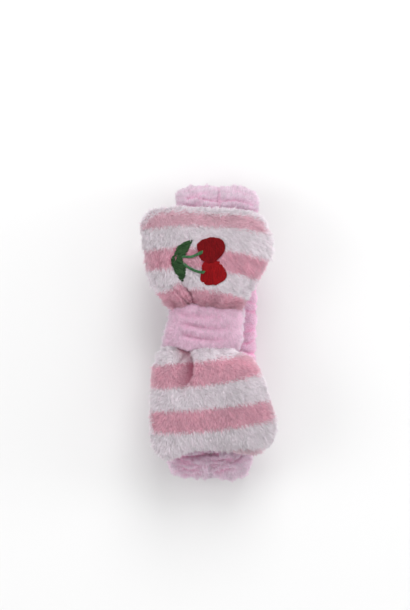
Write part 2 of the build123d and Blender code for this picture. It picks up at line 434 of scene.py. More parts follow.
def fleece_material(name, plain, striped=None):
    """Pile with painted shade: deeper in colour at its roots and in its folds; and a little different in each
    tuft.
    """
    material, tree, shader = new_material(name, FLEECE)
    height, fold = attribute_node(tree, "height"), attribute_node(tree, "fold")
    colour = pile_colour(tree, plain, height, fold)
    if striped:
        rose = pile_colour(tree, striped, height, fold)
        colour = mix_node(tree, attribute_node(tree, "tint"), colour, rose)
    tuft = math_node(tree, "MULTIPLY_ADD", attribute_node(tree, "shade"), *TUFT_SHADES)
    patch = math_node(tree, "MULTIPLY_ADD", noise_node(tree, PATCH_SCALE), *PATCH_SHADES)
    shade = math_node(tree, "MULTIPLY", tuft, patch)
    grey = tree.nodes.new("ShaderNodeCombineColor")
    for socket in grey.inputs:
        tree.links.new(shade, socket)
    colour = mix_node(tree, 1.0, colour, grey.outputs[0], "MULTIPLY")
    tree.links.new(colour, shader.inputs["Base Color"])
    bump(tree, shader, noise_node(tree, FIBRE_SCALE, 4.0), 0.25, 0.0003)
    return material


def thread_material(name, dark, light):
    """Embroidery thread with a fine twist and a low gloss."""
    material, tree, shader = new_material(name, {"Roughness": 0.65, "Specular IOR Level": 0.1})
    colour = mix_node(tree, attribute_node(tree, "shade"), dark, light)
    tree.links.new(colour, shader.inputs["Base Color"])
    bump(tree, shader, noise_node(tree, TWIST_SCALE, 2.0), 0.3, 0.0002)
    return material


def cloth_material(name, light, dark, scale):
    """A plain fibrous cloth, for what lies inside."""
    material, tree, shader = new_material(name, {"Roughness": 0.9})
    fibres = noise_node(tree, scale, 5.0)
    tree.links.new(mix_node(tree, fibres, dark, light), shader.inputs["Base Color"])
    bump(tree, shader, fibres, 0.6, 0.0006)
    return material


PLAIN = fleece_material("plain_fleece", PALE_PINK)
STRIPED = fleece_material("striped_fleece", OFF_WHITE, ROSE)
RED = thread_material("red_thread", (0.11, 0.001, 0.003), (0.31, 0.005, 0.008))
LEAF = thread_material("leaf_thread", (0.011, 0.035, 0.011), (0.038, 0.088, 0.035))
STEM = thread_material("stem_thread", (0.025, 0.085, 0.035), (0.065, 0.18, 0.08))
PINK_THREAD = thread_material("pink_thread", (0.62, 0.32, 0.44), (0.75, 0.46, 0.58))
ELASTIC = cloth_material("elastic", (0.90, 0.89, 0.86), (0.66, 0.65, 0.62), 900.0)
WADDING = cloth_material("wadding", (0.93, 0.93, 0.92), (0.80, 0.80, 0.80), 500.0)


# ---- folds ----
RUN_ON = 30.0  # how far an open crease goes on before its first point


def line_distance(x, y, line, open_start):
    """(signed distance, share along) of each point to a polyline; the distance is positive on its left."""
    line = np.array(line, float)
    lengths = np.linalg.norm(np.diff(line, axis=0), axis=1)
    starts = np.concatenate([[0], lengths.cumsum()])
    best = np.full(x.shape, 1e9)
    signed, share = np.zeros(x.shape), np.zeros(x.shape)
    for i, (a, b) in enumerate(zip(line[:-1], line[1:])):
        d = (b - a) / lengths[i]
        reach = (x - a[0]) * d[0] + (y - a[1]) * d[1]
        held = np.clip(reach, -RUN_ON if open_start and i == 0 else 0.0, lengths[i])
        away_x, away_y = x - a[0] - held * d[0], y - a[1] - held * d[1]
        distance = np.hypot(away_x, away_y)
        nearer = distance < best
        best = np.where(nearer, distance, best)
        side = np.sign(d[0] * away_y - d[1] * away_x)
        signed = np.where(nearer, distance * side, signed)
        share = np.where(nearer, (starts[i] + held) / starts[-1], share)
    return signed, share


class Crease:
    """A valley pressed into fabric along a line in plan, of that half-width on each side, which fades out.

    Open, it runs on at full depth before its first point. Closed, it fades in there too.
    """

    def __init__(self, line, depth, left, right=None, fade=1.0, dark=1.0, is_open=False):
        self.line, self.depth, self.left, self.right = line, depth, left, right or left
        self.fade, self.dark, self.is_open = fade, dark, is_open

    def profile(self, x, y, reach=1.0):
        away, share = line_distance(x, y, self.line, self.is_open)
        width = np.where(away > 0, self.left, self.right) * reach
        remains = np.clip(1 - share, 0, 1) ** self.fade
        if not self.is_open:
            remains = remains * smoothstep(share, -0.02, 0.2)
        return remains * np.exp(-((away / width) ** 2))

    def push(self, x, y):
        return -self.depth * self.profile(x, y)

    # painted shade along the valley, as strong as dark
    def shadow(self, x, y):
        return self.dark * self.profile(x, y, 0.8)


# ---- the loop ----
COLUMNS = 34  # across one puff
ROW_STEP = 0.6
PIECE_ENDS = (HINGE_Y + 7.0, FOLD_Y)  # where one piece of the loop ends and the next begins
BEND_HALF = 7.0
TURN = math.pi * FOLD_RADIUS
LOOP_HALF = 2 * FOLD_Y + TURN  # back centre to front centre, over one fold
SIDE_NAMES = {1: "top", -1: "bottom"}
FOLD_DRAW = {1: 0.03, -1: 0.07}  # how far the elastic draws the width in at each fold
SHOULDER_CUT = {1: 1.6, -1: 1.3}  # how far each fold's outer shoulders fall back
LEFT_SPREAD = {1: 0.0, -1: 1.4}  # how much further each end reaches on the left
SHOULDER = 6.0  # the shoulders' width
SEAM_FILL = 0.5  # how much shallower the centre stitching is where it goes round a fold
SEAM_WIDTH = 1.8
CREASE = 0.42  # the share of the thickness left at the centre stitching
PUFF_POWER = 2.3  # how square the puffs' section is
LOOP_TUFT = {"fold": 2.0, "flat": 1.6}  # the pile's length
LOOP_DENSITY, KNOT_DENSITY, WAIST_DENSITY = 5.0, 6.0, 2.0
LOBE_DENSITY = {"front": 6.5, "back": 2.8}
FLOOR_GAP = 0.02  # under the lowest pile, which the table presses flat
TAPE_STEP = 2.0
TAPE_POINTS = 61  # across the tape, every other one on a rib
TAPE_RIB = 0.22  # half a rib's height
TAPE_GAP = 1.2  # from each cut end of the elastic to the knot's centre
KNOT_SPREAD = 1.2  # how far the loop bulges out at the knot's right
DRAW_REACH = TURN * 0.3  # how far from a fold's middle the elastic draws the width in
FULL_WIDTH_Y = HINGE_Y + 3  # where the front layer has come to its full width past the knot
LEFT_RANGE = (8, 22)  # over which distance to the left
OUTERMOST = (7, 14)  # the heights over the fold's centre up to which the locks of pile swell it
LOCK_STRETCH, END_LOCK_CELL = (1, 1, 0.15), 2.3
INTO_KNOT = (LOOP_HALF - 32, LOOP_HALF - 20)  # over which s the pile gets painted shade, deeper in colour
# how much painted shade the pile gets running into the knot, and on the strip beside it
INTO_KNOT_PAINTED_SHADE, BESIDE_KNOT_PAINTED_SHADE = 0.4, 0.3
BESIDE_KNOT = ((12, 19), (20, 36))  # the strip at the knot's right: where x begins and where |y| ends
TOP_PAINTED_SHADE, TOP_RANGE = 0.42, (52, 84)  # how much painted shade darkens the pile round the top fold, from which y on


def section(half_width, half_thickness, columns):
    """The band's section as (across, out) pairs, going round: two puffs and a stitched crease between."""
    bend = (1 - np.cos(np.linspace(0, math.pi, columns, endpoint=False))) / 2
    across = np.concatenate([bend - 1, bend])
    across = np.append(across, 1.0)
    place = (np.abs(across) - 0.5) * 2
    full = (1 - np.abs(place) ** PUFF_POWER) ** (1 / PUFF_POWER)
    height = np.where(place > 0, full, CREASE + (1 - CREASE) * full)
    top = np.stack([across * half_width, height * half_thickness], 1)
    bottom = top[-2:0:-1] * (1, -1)
    return np.concatenate([top, bottom])


def middle_line(s, side):
    """(y, z, outward y, outward z) of a layer's middle, s along the loop from the back's centre."""
    turned = np.clip((s - FOLD_Y) / FOLD_RADIUS, 0, math.pi)
    beyond = np.maximum(s - FOLD_Y - TURN, 0)
    y = np.minimum(s, FOLD_Y) - beyond + FOLD_RADIUS * np.sin(turned)
    z = FOLD_Z - FOLD_RADIUS * np.cos(turned)
    return side * y, z, side * np.sin(turned), -np.cos(turned)


def centre_and_width(s, side, half_width, pinched_half):
    """How the front layer draws in and shifts to pass through the knot."""
    y = 2 * FOLD_Y + TURN - s
    share = smoothstep(y, KNOT_HALF_LENGTH + KNOT_Y, FULL_WIDTH_Y)
    share = np.where(s < FOLD_Y + TURN, 1.0, share)
    narrowed = 1 - FOLD_DRAW[side] * np.exp(-(((s - FOLD_Y - TURN / 2) / DRAW_REACH) ** 2))
    width = pinched_half + (half_width - pinched_half) * share
    return KNOT_X + (BAND_X - KNOT_X) * share, width * narrowed


def loop_grid(side, end_s, half_width, pinched_half, profile, step):
    """The middle surface of one side of the loop as a grid, and s for each row."""
    s = np.linspace(0, end_s, int(end_s / step) + 1)
    y, z, out_y, out_z = middle_line(s, side)
    x, width = centre_and_width(s, side, half_width, pinched_half)
    across, out = profile[:, 0], profile[:, 1]
    grid = np.zeros((len(s), len(profile), 3))
    grid[..., 0] = x[:, None] + across[None] * (width / half_width)[:, None]
    grid[..., 1] = y[:, None] + out[None] * out_y[:, None]
    grid[..., 2] = z[:, None] + out[None] * out_z[:, None]
    return grid, s


GATHER_PITCH = 5.8
GATHER_REACH = 30.0  # how far from a fold the gathers are tighter and lower
GATHER_TIGHTER = {1: 2.2, -1: 3.1}
GATHER_HEIGHT = 1.05
GATHER_LOWER = {1: 0.6, -1: 0.3}
GATHER_MEAN = 0.62  # the height of the ridges on average, from 0 to 1
RIDGE_POWER = 0.75  # how round the ridges are
VALLEY_SHADE_TOP = 0.75  # the height on a ridge up to which its valley gets painted shade
FOLD_LESS_SHADE = 0.45  # how much less that painted shade is at a fold


def gather(s, across, side):
    """How far the elastic's gathers push the fleece out, and the painted shade in their valleys."""
    near_fold = np.exp(-(((s - FOLD_Y - TURN / 2) / GATHER_REACH) ** 2))
    pitch = GATHER_PITCH - near_fold * GATHER_TIGHTER[side]
    phase = np.cumsum(np.gradient(s) / pitch)[:, None]
    puff = np.where(across < 0, 40.0, 0.0)  # so that the two puffs differ
    place = np.stack(np.broadcast_arrays(s[:, None], across[None], puff[None]), -1)
    drift = 0.9 * noise(place * (1, 0.8, 1), 13.0, 5 + side) + 0.35 * noise(place, 5.0, 8 + side)
    ridge = np.abs(np.sin(math.pi * (phase + drift))) ** RIDGE_POWER
    strength = 0.8 + 0.5 * noise(place * (1, 0.6, 1), 11.0, 21 + side)
    height = GATHER_HEIGHT - near_fold * GATHER_LOWER[side]
    fold = np.clip(VALLEY_SHADE_TOP - ridge, 0, 1) * strength * (1 - near_fold * FOLD_LESS_SHADE)[:, None]
    return (ridge - GATHER_MEAN) * strength * height[:, None], fold


# the centre stitching at each end as its line, depth, half-width and the darkness of its painted shade
END_SEAMS = {
    1: ([(4.0, 92.0), (4.3, 84.8), (4.6, 80.9), (5.2, 74.0)], 0.7, 1.4, 0.45),
    -1: ([(3.4, -92.0), (3.2, -83.6), (2.5, -80.1), (1.2, -73.0)], 0.45, 1.2, 0.0),
}
# the creases beside it as depth, half-width, fade, darkness of painted shade and line
END_LINES = {
    1: (
        (1.2, 0.8, 0.2, 1.0, [
            (-17.5, 80.2), (-12.3, 81.5), (-8.0, 81.7), (-3.7, 80.7), (1.1, 79.5), (4.1, 79.4),
        ]),
        (1.2, 0.8, 0.2, 1.0, [
            (4.5, 79.0), (9.2, 80.2), (13.5, 80.7), (17.8, 79.9), (22.2, 78.8), (26.0, 77.3),
        ]),
        (1.2, 0.8, 0.2, 0.8, [(-18.5, 76.9), (-12.1, 76.2), (-7.4, 75.9), (-1.0, 75.8)]),
        (1.2, 0.8, 0.2, 0.8, [(10.0, 75.7), (15.8, 74.9), (20.1, 74.8), (26.0, 74.0)]),
        (0.6, 0.7, 0.3, 0.4, [(-15.5, 82.8), (-10.2, 83.9), (-5.0, 83.9), (0.8, 82.8)]),
        (0.5, 0.7, 0.3, 0.3, [(12.0, 87.0), (17.7, 85.9), (22.5, 83.0)]),
    ),
    -1: (
        (1.5, 1.5, 0.1, 1.0, [(-19.5, -77.0), (-12.0, -76.3), (-5.8, -75.6), (-0.4, -74.6), (9.0, -73.6)]),
        (1.5, 0.9, 0.3, 1.0, [(-18.8, -77.7), (-14.7, -78.9), (-10.4, -79.3), (-6.0, -77.6)]),
        (1.5, 0.9, 0.3, 1.0, [(2.8, -77.2), (7.5, -78.1), (11.4, -77.5), (16.6, -75.2)]),
        (1.8, 0.8, 0.1, 1.0, [
            (1.4, -79.8), (5.6, -80.6), (9.5, -80.9), (13.4, -79.8), (17.3, -78.8), (20.4, -76.9),
            (22.8, -74.0),
        ]),
        (1.2, 0.7, 0.3, 0.85, [
            (-20.2, -79.5), (-15.8, -80.8), (-11.1, -81.4), (-5.7, -80.7), (0.4, -80.2),
        ]),
        (1.5, 0.7, 0.3, 0.8, [(-19.4, -81.5), (-13.8, -82.9), (-9.1, -83.8), (-5.6, -82.9), (-1.8, -82.1)]),
        (1.2, 0.7, 0.3, 0.85, [
            (-18.8, -85.3), (-13.8, -84.5), (-9.9, -85.2), (-5.2, -84.5), (-0.4, -84.9),
        ]),
        (1.4, 0.7, 0.3, 0.8, [(2.7, -82.4), (9.6, -83.5), (13.5, -83.0), (19.6, -82.0)]),
        (1.2, 0.7, 0.3, 0.85, [(4.6, -85.6), (9.6, -85.2), (12.3, -84.4), (16.6, -83.3)]),
        (0.9, 0.7, 0.3, 0.85, [(-15.0, -87.0), (-8.0, -87.4), (-2.0, -86.6)]),
        (1.2, 0.7, 0.3, 0.85, [(12.0, -78.6), (16.0, -77.2), (19.0, -75.0)]),
    ),
}


def end_creases(side):
    line, depth, width, dark = END_SEAMS[side]
    creases = [Crease(line, depth, width, fade=0.1, dark=dark, is_open=True)]
    for depth, width, fade, dark, line in END_LINES[side]:
        creases.append(Crease(line, depth, width, fade=fade, dark=dark))
    return creases


END_CREASES = {side: end_creases(side) for side in (1, -1)}
END_DEPTH = {1: 1.0, -1: 1.6}  # the bottom end is gathered more tightly
END_LOCKS = {1: 0.2, -1: 1.1}  # how far locks of pile swell the outline of each end


def end_folds(grid, side):
    """(push, painted shade) of the creases over one end of the loop, which show from above only."""
    x, y = grid[..., 0], grid[..., 1]
    shown = smoothstep(grid[..., 2] - FOLD_Z, -1.0, 3.0) * smoothstep(side * y, 70.0, 74.0)
    push = sum(crease.push(x, y) for crease in END_CREASES[side]) * END_DEPTH[side]
    fold = sum(crease.shadow(x, y) for crease in END_CREASES[side])
    return push * shown, fold * shown


def bodies(side):
    """The bodies of one side of the loop, from the back's centre to the knot."""
    lengths = ("back_inner", "back_outer", "front_outer", "front_inner")
    last = "bow_centre" if side > 0 else "front_centre_bottom"
    return ["band_back", *(f"{length}_{SIDE_NAMES[side]}" for length in lengths), last]


def loop_cuts(side, end_s):
    """(name, s from, s to, body, next body, blend start, blend end, the CAD's name) of each piece."""
    near, far = PIECE_ENDS
    b = bodies(side)
    bend_low, bend_high = HINGE_Y - BEND_HALF, HINGE_Y + BEND_HALF
    fold_s, stretch_s = FOLD_Y + TURN, FOLD_Y + TURN + far - near

    def back(y):
        return BAND_X, side * y, BACK_MIDDLE

    def front(y):
        return BAND_X, side * y, FRONT_MIDDLE

    gap = (BAND_X, side * far, BACK_HIGH[2]), (BAND_X, side * far, FRONT_LOW[2])
    return [
        ("back_bend", 0, near, b[0], b[1], back(bend_low), back(bend_high), "back_inner"),
        ("back_stretch", near, far, b[1], b[2], back(near), back(far), "back_outer"),
        ("fold", far, fold_s, b[2], b[3], *gap, "front_outer"),
        ("front_stretch", fold_s, stretch_s, b[3], b[4], front(far), front(near), "front_inner"),
        ("front_bend", stretch_s, end_s, b[4], b[5], front(bend_high), front(bend_low), "front_centre"),
    ]


def place_loop_piece(piece, kind, side, cut):
    name, _, _, body, next_body, start, end, length = cut
    metres(start)
    metres(end)
    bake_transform(piece)
    stands_for = [f"{kind}_{length}_{SIDE_NAMES[side]}"]
    if name == "back_bend" and side > 0:
        stands_for.append(f"{kind}_back_centre")
    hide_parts(*stands_for)


def loop_fabric(side, end_s):
    """(fabric, s of its rows) of one side of the loop, gathered and creased."""
    half_width = BAND_HALF_WIDTH - PILE * 0.8
    profile = section(half_width, BAND_HALF_THICKNESS - PILE * 0.4, COLUMNS)
    grid, s = loop_grid(side, end_s, half_width, WAIST_HALF_WIDTH - PILE, profile, ROW_STEP)
    from_side = (1 - np.abs(profile[:, 0]) / half_width) * half_width
    at_fold = smoothstep(side * grid[..., 1], FOLD_Y - 6, FOLD_Y + FOLD_RADIUS)
    grid[..., 1] -= side * SHOULDER_CUT[side] * np.exp(-((from_side / SHOULDER) ** 2)) * at_fold
    seam = SEAM_FILL * np.exp(-((profile[:, 0] / SEAM_WIDTH) ** 2)) * at_fold
    grid[..., 0] -= LEFT_SPREAD[side] * smoothstep(-grid[..., 0], *LEFT_RANGE) * at_fold
    outermost = at_fold * (1 - smoothstep(grid[..., 2] - FOLD_Z, *OUTERMOST))
    locks = END_LOCKS[side] * noise(grid * LOCK_STRETCH, END_LOCK_CELL, 45) * outermost
    grid[..., 0] += KNOT_SPREAD * beside_knot(grid)
    push, fold = gather(s, profile[:, 0], side)
    end_push, end_shade = end_folds(grid, side)
    plain = Fabric(grid, True, grid.mean(1, keepdims=True))
    knot_shade = INTO_KNOT_PAINTED_SHADE * smoothstep(s, *INTO_KNOT)[:, None]
    # painted shade in the gathers' valleys and creases, into the knot and beside it
    fold = fold + end_shade + knot_shade + BESIDE_KNOT_PAINTED_SHADE * beside_knot(grid)
    return plain.pushed(push + end_push + seam + locks, np.clip(fold, 0, 1)), s


def beside_knot(points):
    """From 0 to 1 on the strip of the loop at the knot's right, which bulges out and gets painted shade and
    light.
    """
    from_x, to_y = BESIDE_KNOT
    return smoothstep(points[..., 0], *from_x) * (1 - smoothstep(np.abs(points[..., 1] - KNOT_Y), *to_y))


def loop_painted_shade(points):
    """The pile's painted shade round the top fold, less the painted light on the strip beside the knot."""
    return TOP_PAINTED_SHADE * smoothstep(points[:, 1], *TOP_RANGE) - beside_knot(points)


def loop_lean(side):
    """The pile lies along the loop: out over the front, down round the fold and in again under the back."""

    def lean(points):
        turned = np.arctan2(np.maximum(side * points[:, 1] - FOLD_Y, 0), FOLD_Z - points[:, 2])
        share = 0.5 * smoothstep(np.abs(points[:, 1]), 0, 20)
        across = np.full_like(turned, 0.15)
        return np.stack([across, -side * share * np.cos(turned), -share * np.sin(turned) - 0.25], 1)

    return lean


def make_loop():
    for side in (1, -1):
        end_s = LOOP_HALF - side * KNOT_Y
        fabric, s = loop_fabric(side, end_s)
        sizes = ELASTIC_HALF_WIDTH, ELASTIC_HALF_WIDTH  # the tape isn't pinched in the knot
        tape, tape_s = loop_grid(side, end_s - TAPE_GAP, *sizes, tape_profile(), TAPE_STEP)
        for number, cut in enumerate(loop_cuts(side, end_s)):
            name, low, high = cut[:3]
            length = LOOP_TUFT["fold" if name == "fold" else "flat"]
            seed = 100 + 10 * side + number
            pile = Pile(LOOP_DENSITY, loop_lean(side), seed, length, width=0.36, painted_shade=loop_painted_shade)
            piece_name = f"band_{name}_{SIDE_NAMES[side]}"
            part = fabric.rows(slice_of(s, low, high))
            piece = fleece_piece(piece_name, part, pile, PLAIN, "plain_fleece", floor=FLOOR_GAP)
            place_loop_piece(piece, "band", side, cut)
            make_tape(tape[slice_of(tape_s, low, high)], side, cut)


def slice_of(s, low, high):
    """The rows of a piece. Neighbours share the row where they meet."""
    first, last = (int(np.argmin(np.abs(s - place))) for place in (low, high))
    return slice(first, last + 1)


def tape_profile():
    """A flat ribbed tape's section, going round."""
    across = np.linspace(-ELASTIC_HALF_WIDTH, ELASTIC_HALF_WIDTH, TAPE_POINTS)
    ribs = ELASTIC_HALF_THICKNESS - TAPE_RIB + TAPE_RIB * np.cos(np.arange(TAPE_POINTS) * math.pi)
    top = np.stack([across, ribs], 1)
    return np.concatenate([top, top[::-1] * (1, -1)])


def make_tape(grid, side, cut):
    faces = grid_faces(*grid.shape[:2], True)
    name = f"elastic_{cut[0]}_{SIDE_NAMES[side]}"
    piece = new_piece(name, grid.reshape(-1, 3), [faces], ELASTIC, "elastic")
    place_loop_piece(piece, "elastic", side, cut)


# ---- the knot ----
KNOT_ROWS = 90
KNOT_COLUMNS = 230
KNOT_ROLL = 0.86  # past this share of its half length, an edge turns under
KNOT_ROLLED = math.pi * 0.8  # the angle that an edge turns through
KNOT_EDGE_RADIUS = 2.4
KNOT_POWER = 2 / 2.7  # how square the strip's rings are
KNOT_PLEAT = 6.8  # the pitch of the pleats under the band
KNOT_PLEAT_HEIGHT = 0.8
KNOT_SAG = 1.1  # how much lower the strip is at its edges
KNOT_LUMP = (7.0, 0.3)  # the cell and the strength of its lumps
KNOT_PAINTED_SHADE = (0.3, 0.6)  # painted shade on its top, where the upper lobe's shade falls, and how much its creases add
# the strip's edges seen from above: x and y along its two ends, then y and x along its two sides
KNOT_EDGES = {
    1: (
        (-30, 16.4), (-22, 16.9), (-14, 18.0), (-10, 18.0), (-3, 16.9), (2.6, 16.8), (4.8, 16.0), (8.2, 15.7),
        (24, 16.8),
    ),
    -1: (
        (-30, -9.9), (-18.2, -9.7), (-14.3, -11), (-10.9, -11.6), (-8.3, -10.5), (-4.9, -9.9), (4, -9.9),
        (24, -11.2),
    ),
}
KNOT_LEFT = ((17.5, -25.0), (5.0, -24.8), (-3.0, -27.2), (-10.9, -30.2))
KNOT_RIGHT = ((17.5, 22.8), (3.0, 21.1), (-10.9, 21.2))
KNOT_CREASES = [
    Crease(line, depth, *widths, fade=0.4, dark=dark)
    for depth, widths, dark, line in (
        (1.2, (2.8, 2.0), 0.5, [(-20.5, 11.6), (-11.4, 10.0), (-2.8, 9.8), (9.0, 10.2)]),
        (2.2, (2.6, 1.4), 0.7, [(-19.0, 5.4), (-12.1, 4.2), (-5.2, 2.9), (1.7, 2.3), (13.0, 3.4)]),
        (2.0, (2.6, 1.4), 0.7, [(-18.0, -1.0), (-11.1, -2.8), (-5.0, -4.0), (1.8, -4.5), (11.0, -3.8)]),
    )
]


def along(points, value):
    """The second number of the points at that value of the first."""
    points = sorted(points)
    return np.interp(value, [p[0] for p in points], [p[1] for p in points])


def ring(turn, power):
    """Across and up of a rounded rectangle at those angles, each from -1 to 1."""
    cos, sin = np.cos(turn), np.sin(turn)
    return (np.sign(cos) * np.abs(cos) ** power)[None], (np.sign(sin) * np.abs(sin) ** power)[None]


def knot_grid():
    turn = np.linspace(0, 2 * math.pi, KNOT_COLUMNS, endpoint=False)
    share = np.linspace(-1, 1, KNOT_ROWS)
    held = np.minimum(np.abs(share) / KNOT_ROLL, 1)
    rolled = np.clip((np.abs(share) - KNOT_ROLL) / (1 - KNOT_ROLL), 0, 1) * KNOT_ROLLED
    sink = KNOT_EDGE_RADIUS * (1 - np.cos(rolled)) + KNOT_SAG * held**4
    flat = KNOT_HALF_LENGTH - KNOT_EDGE_RADIUS - PILE * 0.3
    y = KNOT_Y + np.sign(share) * (held * flat + KNOT_EDGE_RADIUS * np.sin(rolled))
    left, right = along(KNOT_LEFT, y) + PILE * 0.7, along(KNOT_RIGHT, y) - PILE * 0.7
    centre, half = (left + right) / 2, (right - left) / 2
    tall = KNOT_HALF_HEIGHT - PILE * 0.4
    across, up = ring(turn, KNOT_POWER)
    grid = np.zeros((KNOT_ROWS, KNOT_COLUMNS, 3))
    grid[..., 0] = centre[:, None] + (half - sink)[:, None] * across
    grid[..., 1] = y[:, None]
    grid[..., 2] = KNOT_Z + (tall - sink)[:, None] * up
    upper_side = smoothstep(np.sin(turn), 0, 0.5)[None]
    for outward, edge in KNOT_EDGES.items():
        shift = along(edge, grid[..., 0]) - (KNOT_Y + outward * KNOT_HALF_LENGTH)
        grid[..., 1] += shift * np.clip(outward * share, 0, 1)[:, None] * upper_side
    return grid


def make_knot():
    """A soft strip wrapped round the bow and the band, its edges rolled under."""
    plain = knot_grid()
    x, y = plain[..., 0], plain[..., 1]
    top = smoothstep(plain[..., 2] - KNOT_Z, 2.0, 8.0)
    lumps = KNOT_LUMP[1] * noise(plain * (0.5, 1, 1), KNOT_LUMP[0], 62)
    push = lumps + top * sum(crease.push(x, y) for crease in KNOT_CREASES)
    fold = top * sum(crease.shadow(x, y) for crease in KNOT_CREASES)
    under = smoothstep(KNOT_Z - plain[..., 2], 0.0, 8.0)
    around = y + 1.2 * noise(plain * (1, 0.3, 1), 12.0, 61)
    push = push + under * KNOT_PLEAT_HEIGHT * np.cos(around * 2 * math.pi / KNOT_PLEAT)
    fabric = Fabric(plain, True, plain.mean(1, keepdims=True))
    # painted shade on the knot's top and in its creases
    fabric = fabric.pushed(push, np.clip(KNOT_PAINTED_SHADE[0] * top + KNOT_PAINTED_SHADE[1] * fold, 0, 1))
    lean = fixed_lean(0.1, -0.45, -0.5)
    # 0.25 of painted shade all over the knot's pile
    pile = Pile(KNOT_DENSITY, lean, seed=301, length=1.9, width=0.38, painted_shade=0.25)
    piece = fleece_piece("knot", fabric, pile, PLAIN, "plain_fleece")
    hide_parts("knot_strip")
    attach(piece, "bow_centre")


# ---- lobes ----
RINGS = 60
SPOKES = 380
BULGE = 8.2  # of the front panel over the seam
BACK_BULGE = 6.4
DROOP = 3.0  # of the lobes' sides
OUTLINE_INSET = 2.1  # what the pile and the stuffing add to the outline
PLEAT_LIMIT = 6.0  # how deep pleats that run together can go
UPPER_OUTLINE = [
    (-1.0, 6.5), (-19.0, 7.6), (-27.4, 15.2), (-34.6, 24.0), (-38.6, 33.4), (-39.6, 43.9), (-41.1, 53.1),
    (-42.6, 61.0), (-42.2, 66.0), (-39.4, 71.0), (-33.9, 74.7), (-22.0, 75.6), (-6.0, 75.4), (10.0, 75.1),
    (23.0, 73.8), (31.0, 71.0), (34.2, 64.5), (37.2, 58.4), (38.0, 50.0), (35.3, 43.2), (29.8, 30.9),
    (26.5, 24.8), (22.3, 16.8), (14.0, 8.0),
]
LOWER_OUTLINE = [
    (-3.0, -2.0), (11.0, -3.5), (18.0, -9.5), (24.7, -12.6), (29.2, -15.9), (34.4, -25.2), (38.4, -37.6),
    (41.9, -50.9), (42.5, -57.0), (40.2, -65.6), (34.9, -70.5), (28.5, -72.8), (9.9, -72.4), (-5.0, -73.3),
    (-15.0, -75.1), (-22.4, -77.3), (-27.4, -76.5), (-31.2, -73.0), (-33.9, -66.8), (-34.9, -58.7),
    (-34.8, -36.9), (-34.7, -27.5), (-33.4, -19.0), (-29.5, -10.5), (-19.0, -4.0),
]
# each boundary between two stripes: its y at x of -35, 0 and 35
UPPER_STRIPES = ((22.5, 26.3, 12.5), (38.0, 38.8, 31.3), (49.9, 51.2, 45.0), (63.2, 64.6, 61.3))
LOWER_STRIPES = (
    (-20.6, -16.6, -9.7), (-33.8, -30.7, -23.2), (-48.2, -45.0, -40.0), (-60.6, -58.3, -52.7),
    (-81.0, -71.9, -69.2),
)
STRIPE_REACH = 35.0
UPPER_LEAN, LOWER_LEAN = (0.5, -0.65, -0.7), (0.35, -0.6, -0.7)  # the way the pile lies
STRIPE_BLUR = 1.0
RIM = 3.7  # the width of the off-white edge that rolls over from behind
RIM_RANGE = {1: ((59.0, 71.0), (98.0, 99.0)), -1: ((44.0, 56.0), (64.0, 68.0))}  # the |y| of its two ends
FAR_FADE = 0.22  # how much paler the rose is at the far ends
FAR_RANGE = (61.0, 66.0)  # over which |y|
NECK_RANGE = (-7.5, 3.5)  # the distances out from the knot's edge over which a lobe comes to its thickness
NECK_HEIGHT = 1.15  # of the lobe inside the knot, over the waist's
HANG_RANGE = (-4, 18)  # the distances past the band's side over which a lobe droops
CROWN = (2.7, 0.56)  # the powers that make a panel full in the middle and round at its rim
LUMP = (17.0, 0.10)  # the cell and the strength of a stuffed panel's lumps
PUCKER = (3.0, 0.7, 8.0)  # the cell and the strength of the small puckers, and how soon they fade
GATHERED = 7.0  # how far out from the knot the pile is spread by the gathers
SPREAD = (0.05, 0.9, -0.4)  # that spread: across for each millimetre from the middle, out and down
PAINTED_SHADE_LOWER_RIGHT = 0.35  # painted shade on the lower lobe's right, further out from the knot
PAINTED_LIGHT_AT_KNOT = 0.7  # painted light on it beside the knot, in the knot's shadow
EDGE_FADE = 0.4  # how much paler the rose is at the outline
EDGE_RANGE = (0.5, 5.5)  # over which distance in from it


def spline(points, steps):
    """A smooth line through all but the first and the last two of the points."""
    t = np.linspace(0, 1, steps, endpoint=False)[None, :, None]
    p0, p1, p2, p3 = (points[i : len(points) - 3 + i, None] for i in range(4))
    square, cube = (2 * p0 - 5 * p1 + 4 * p2 - p3) * t**2, (3 * p1 - p0 - 3 * p2 + p3) * t**3
    return (0.5 * (2 * p1 + (p2 - p0) * t + square + cube)).reshape(-1, 2)


def evenly(line, count, endpoint):
    """That many points at even distances along a line."""
    reach = np.concatenate([[0], np.linalg.norm(np.diff(line, axis=0), axis=1).cumsum()])
    marks = np.linspace(0, reach[-1], count, endpoint=endpoint)
    return np.stack([np.interp(marks, reach, line[:, k]) for k in range(2)], 1)


def closed_curve(points, count):
    """A smooth closed line through the points, evenly spaced."""
    points = np.array(points, float)
    line = spline(np.concatenate([points[-1:], points, points[:2]]), 24)
    return evenly(np.concatenate([line, line[:1]]), count, False)


def smooth_line(points, count):
    """A smooth open line through the points, evenly spaced."""
    points = np.array(points, float)
    points = np.concatenate([[2 * points[0] - points[1]], points, [2 * points[-1] - points[-2]]])
    return evenly(np.concatenate([spline(points, 20), points[-2:-1]]), count, True)


def stripe_tint(x, y, boundaries, first):
    """0 on off-white and 1 on rose, where first is the tint of the stripe at the knot."""
    passed = np.full(np.shape(x), float(first))
    outward = 1 if boundaries[0][1] > 0 else -1
    for left, middle, right in boundaries:
        t = x / STRIPE_REACH
        line = middle + (right - left) / 2 * t + ((right + left) / 2 - middle) * t * t
        passed += smoothstep((y - line) * outward, -STRIPE_BLUR, STRIPE_BLUR)
    return 1 - np.abs(1 - passed % 2)


def pleat(line, depth, left, right, fade=1.0, dark=1.0):
    """A crease that runs out from under the knot."""
    return Crease(line, depth, left, right, fade, dark, is_open=True)


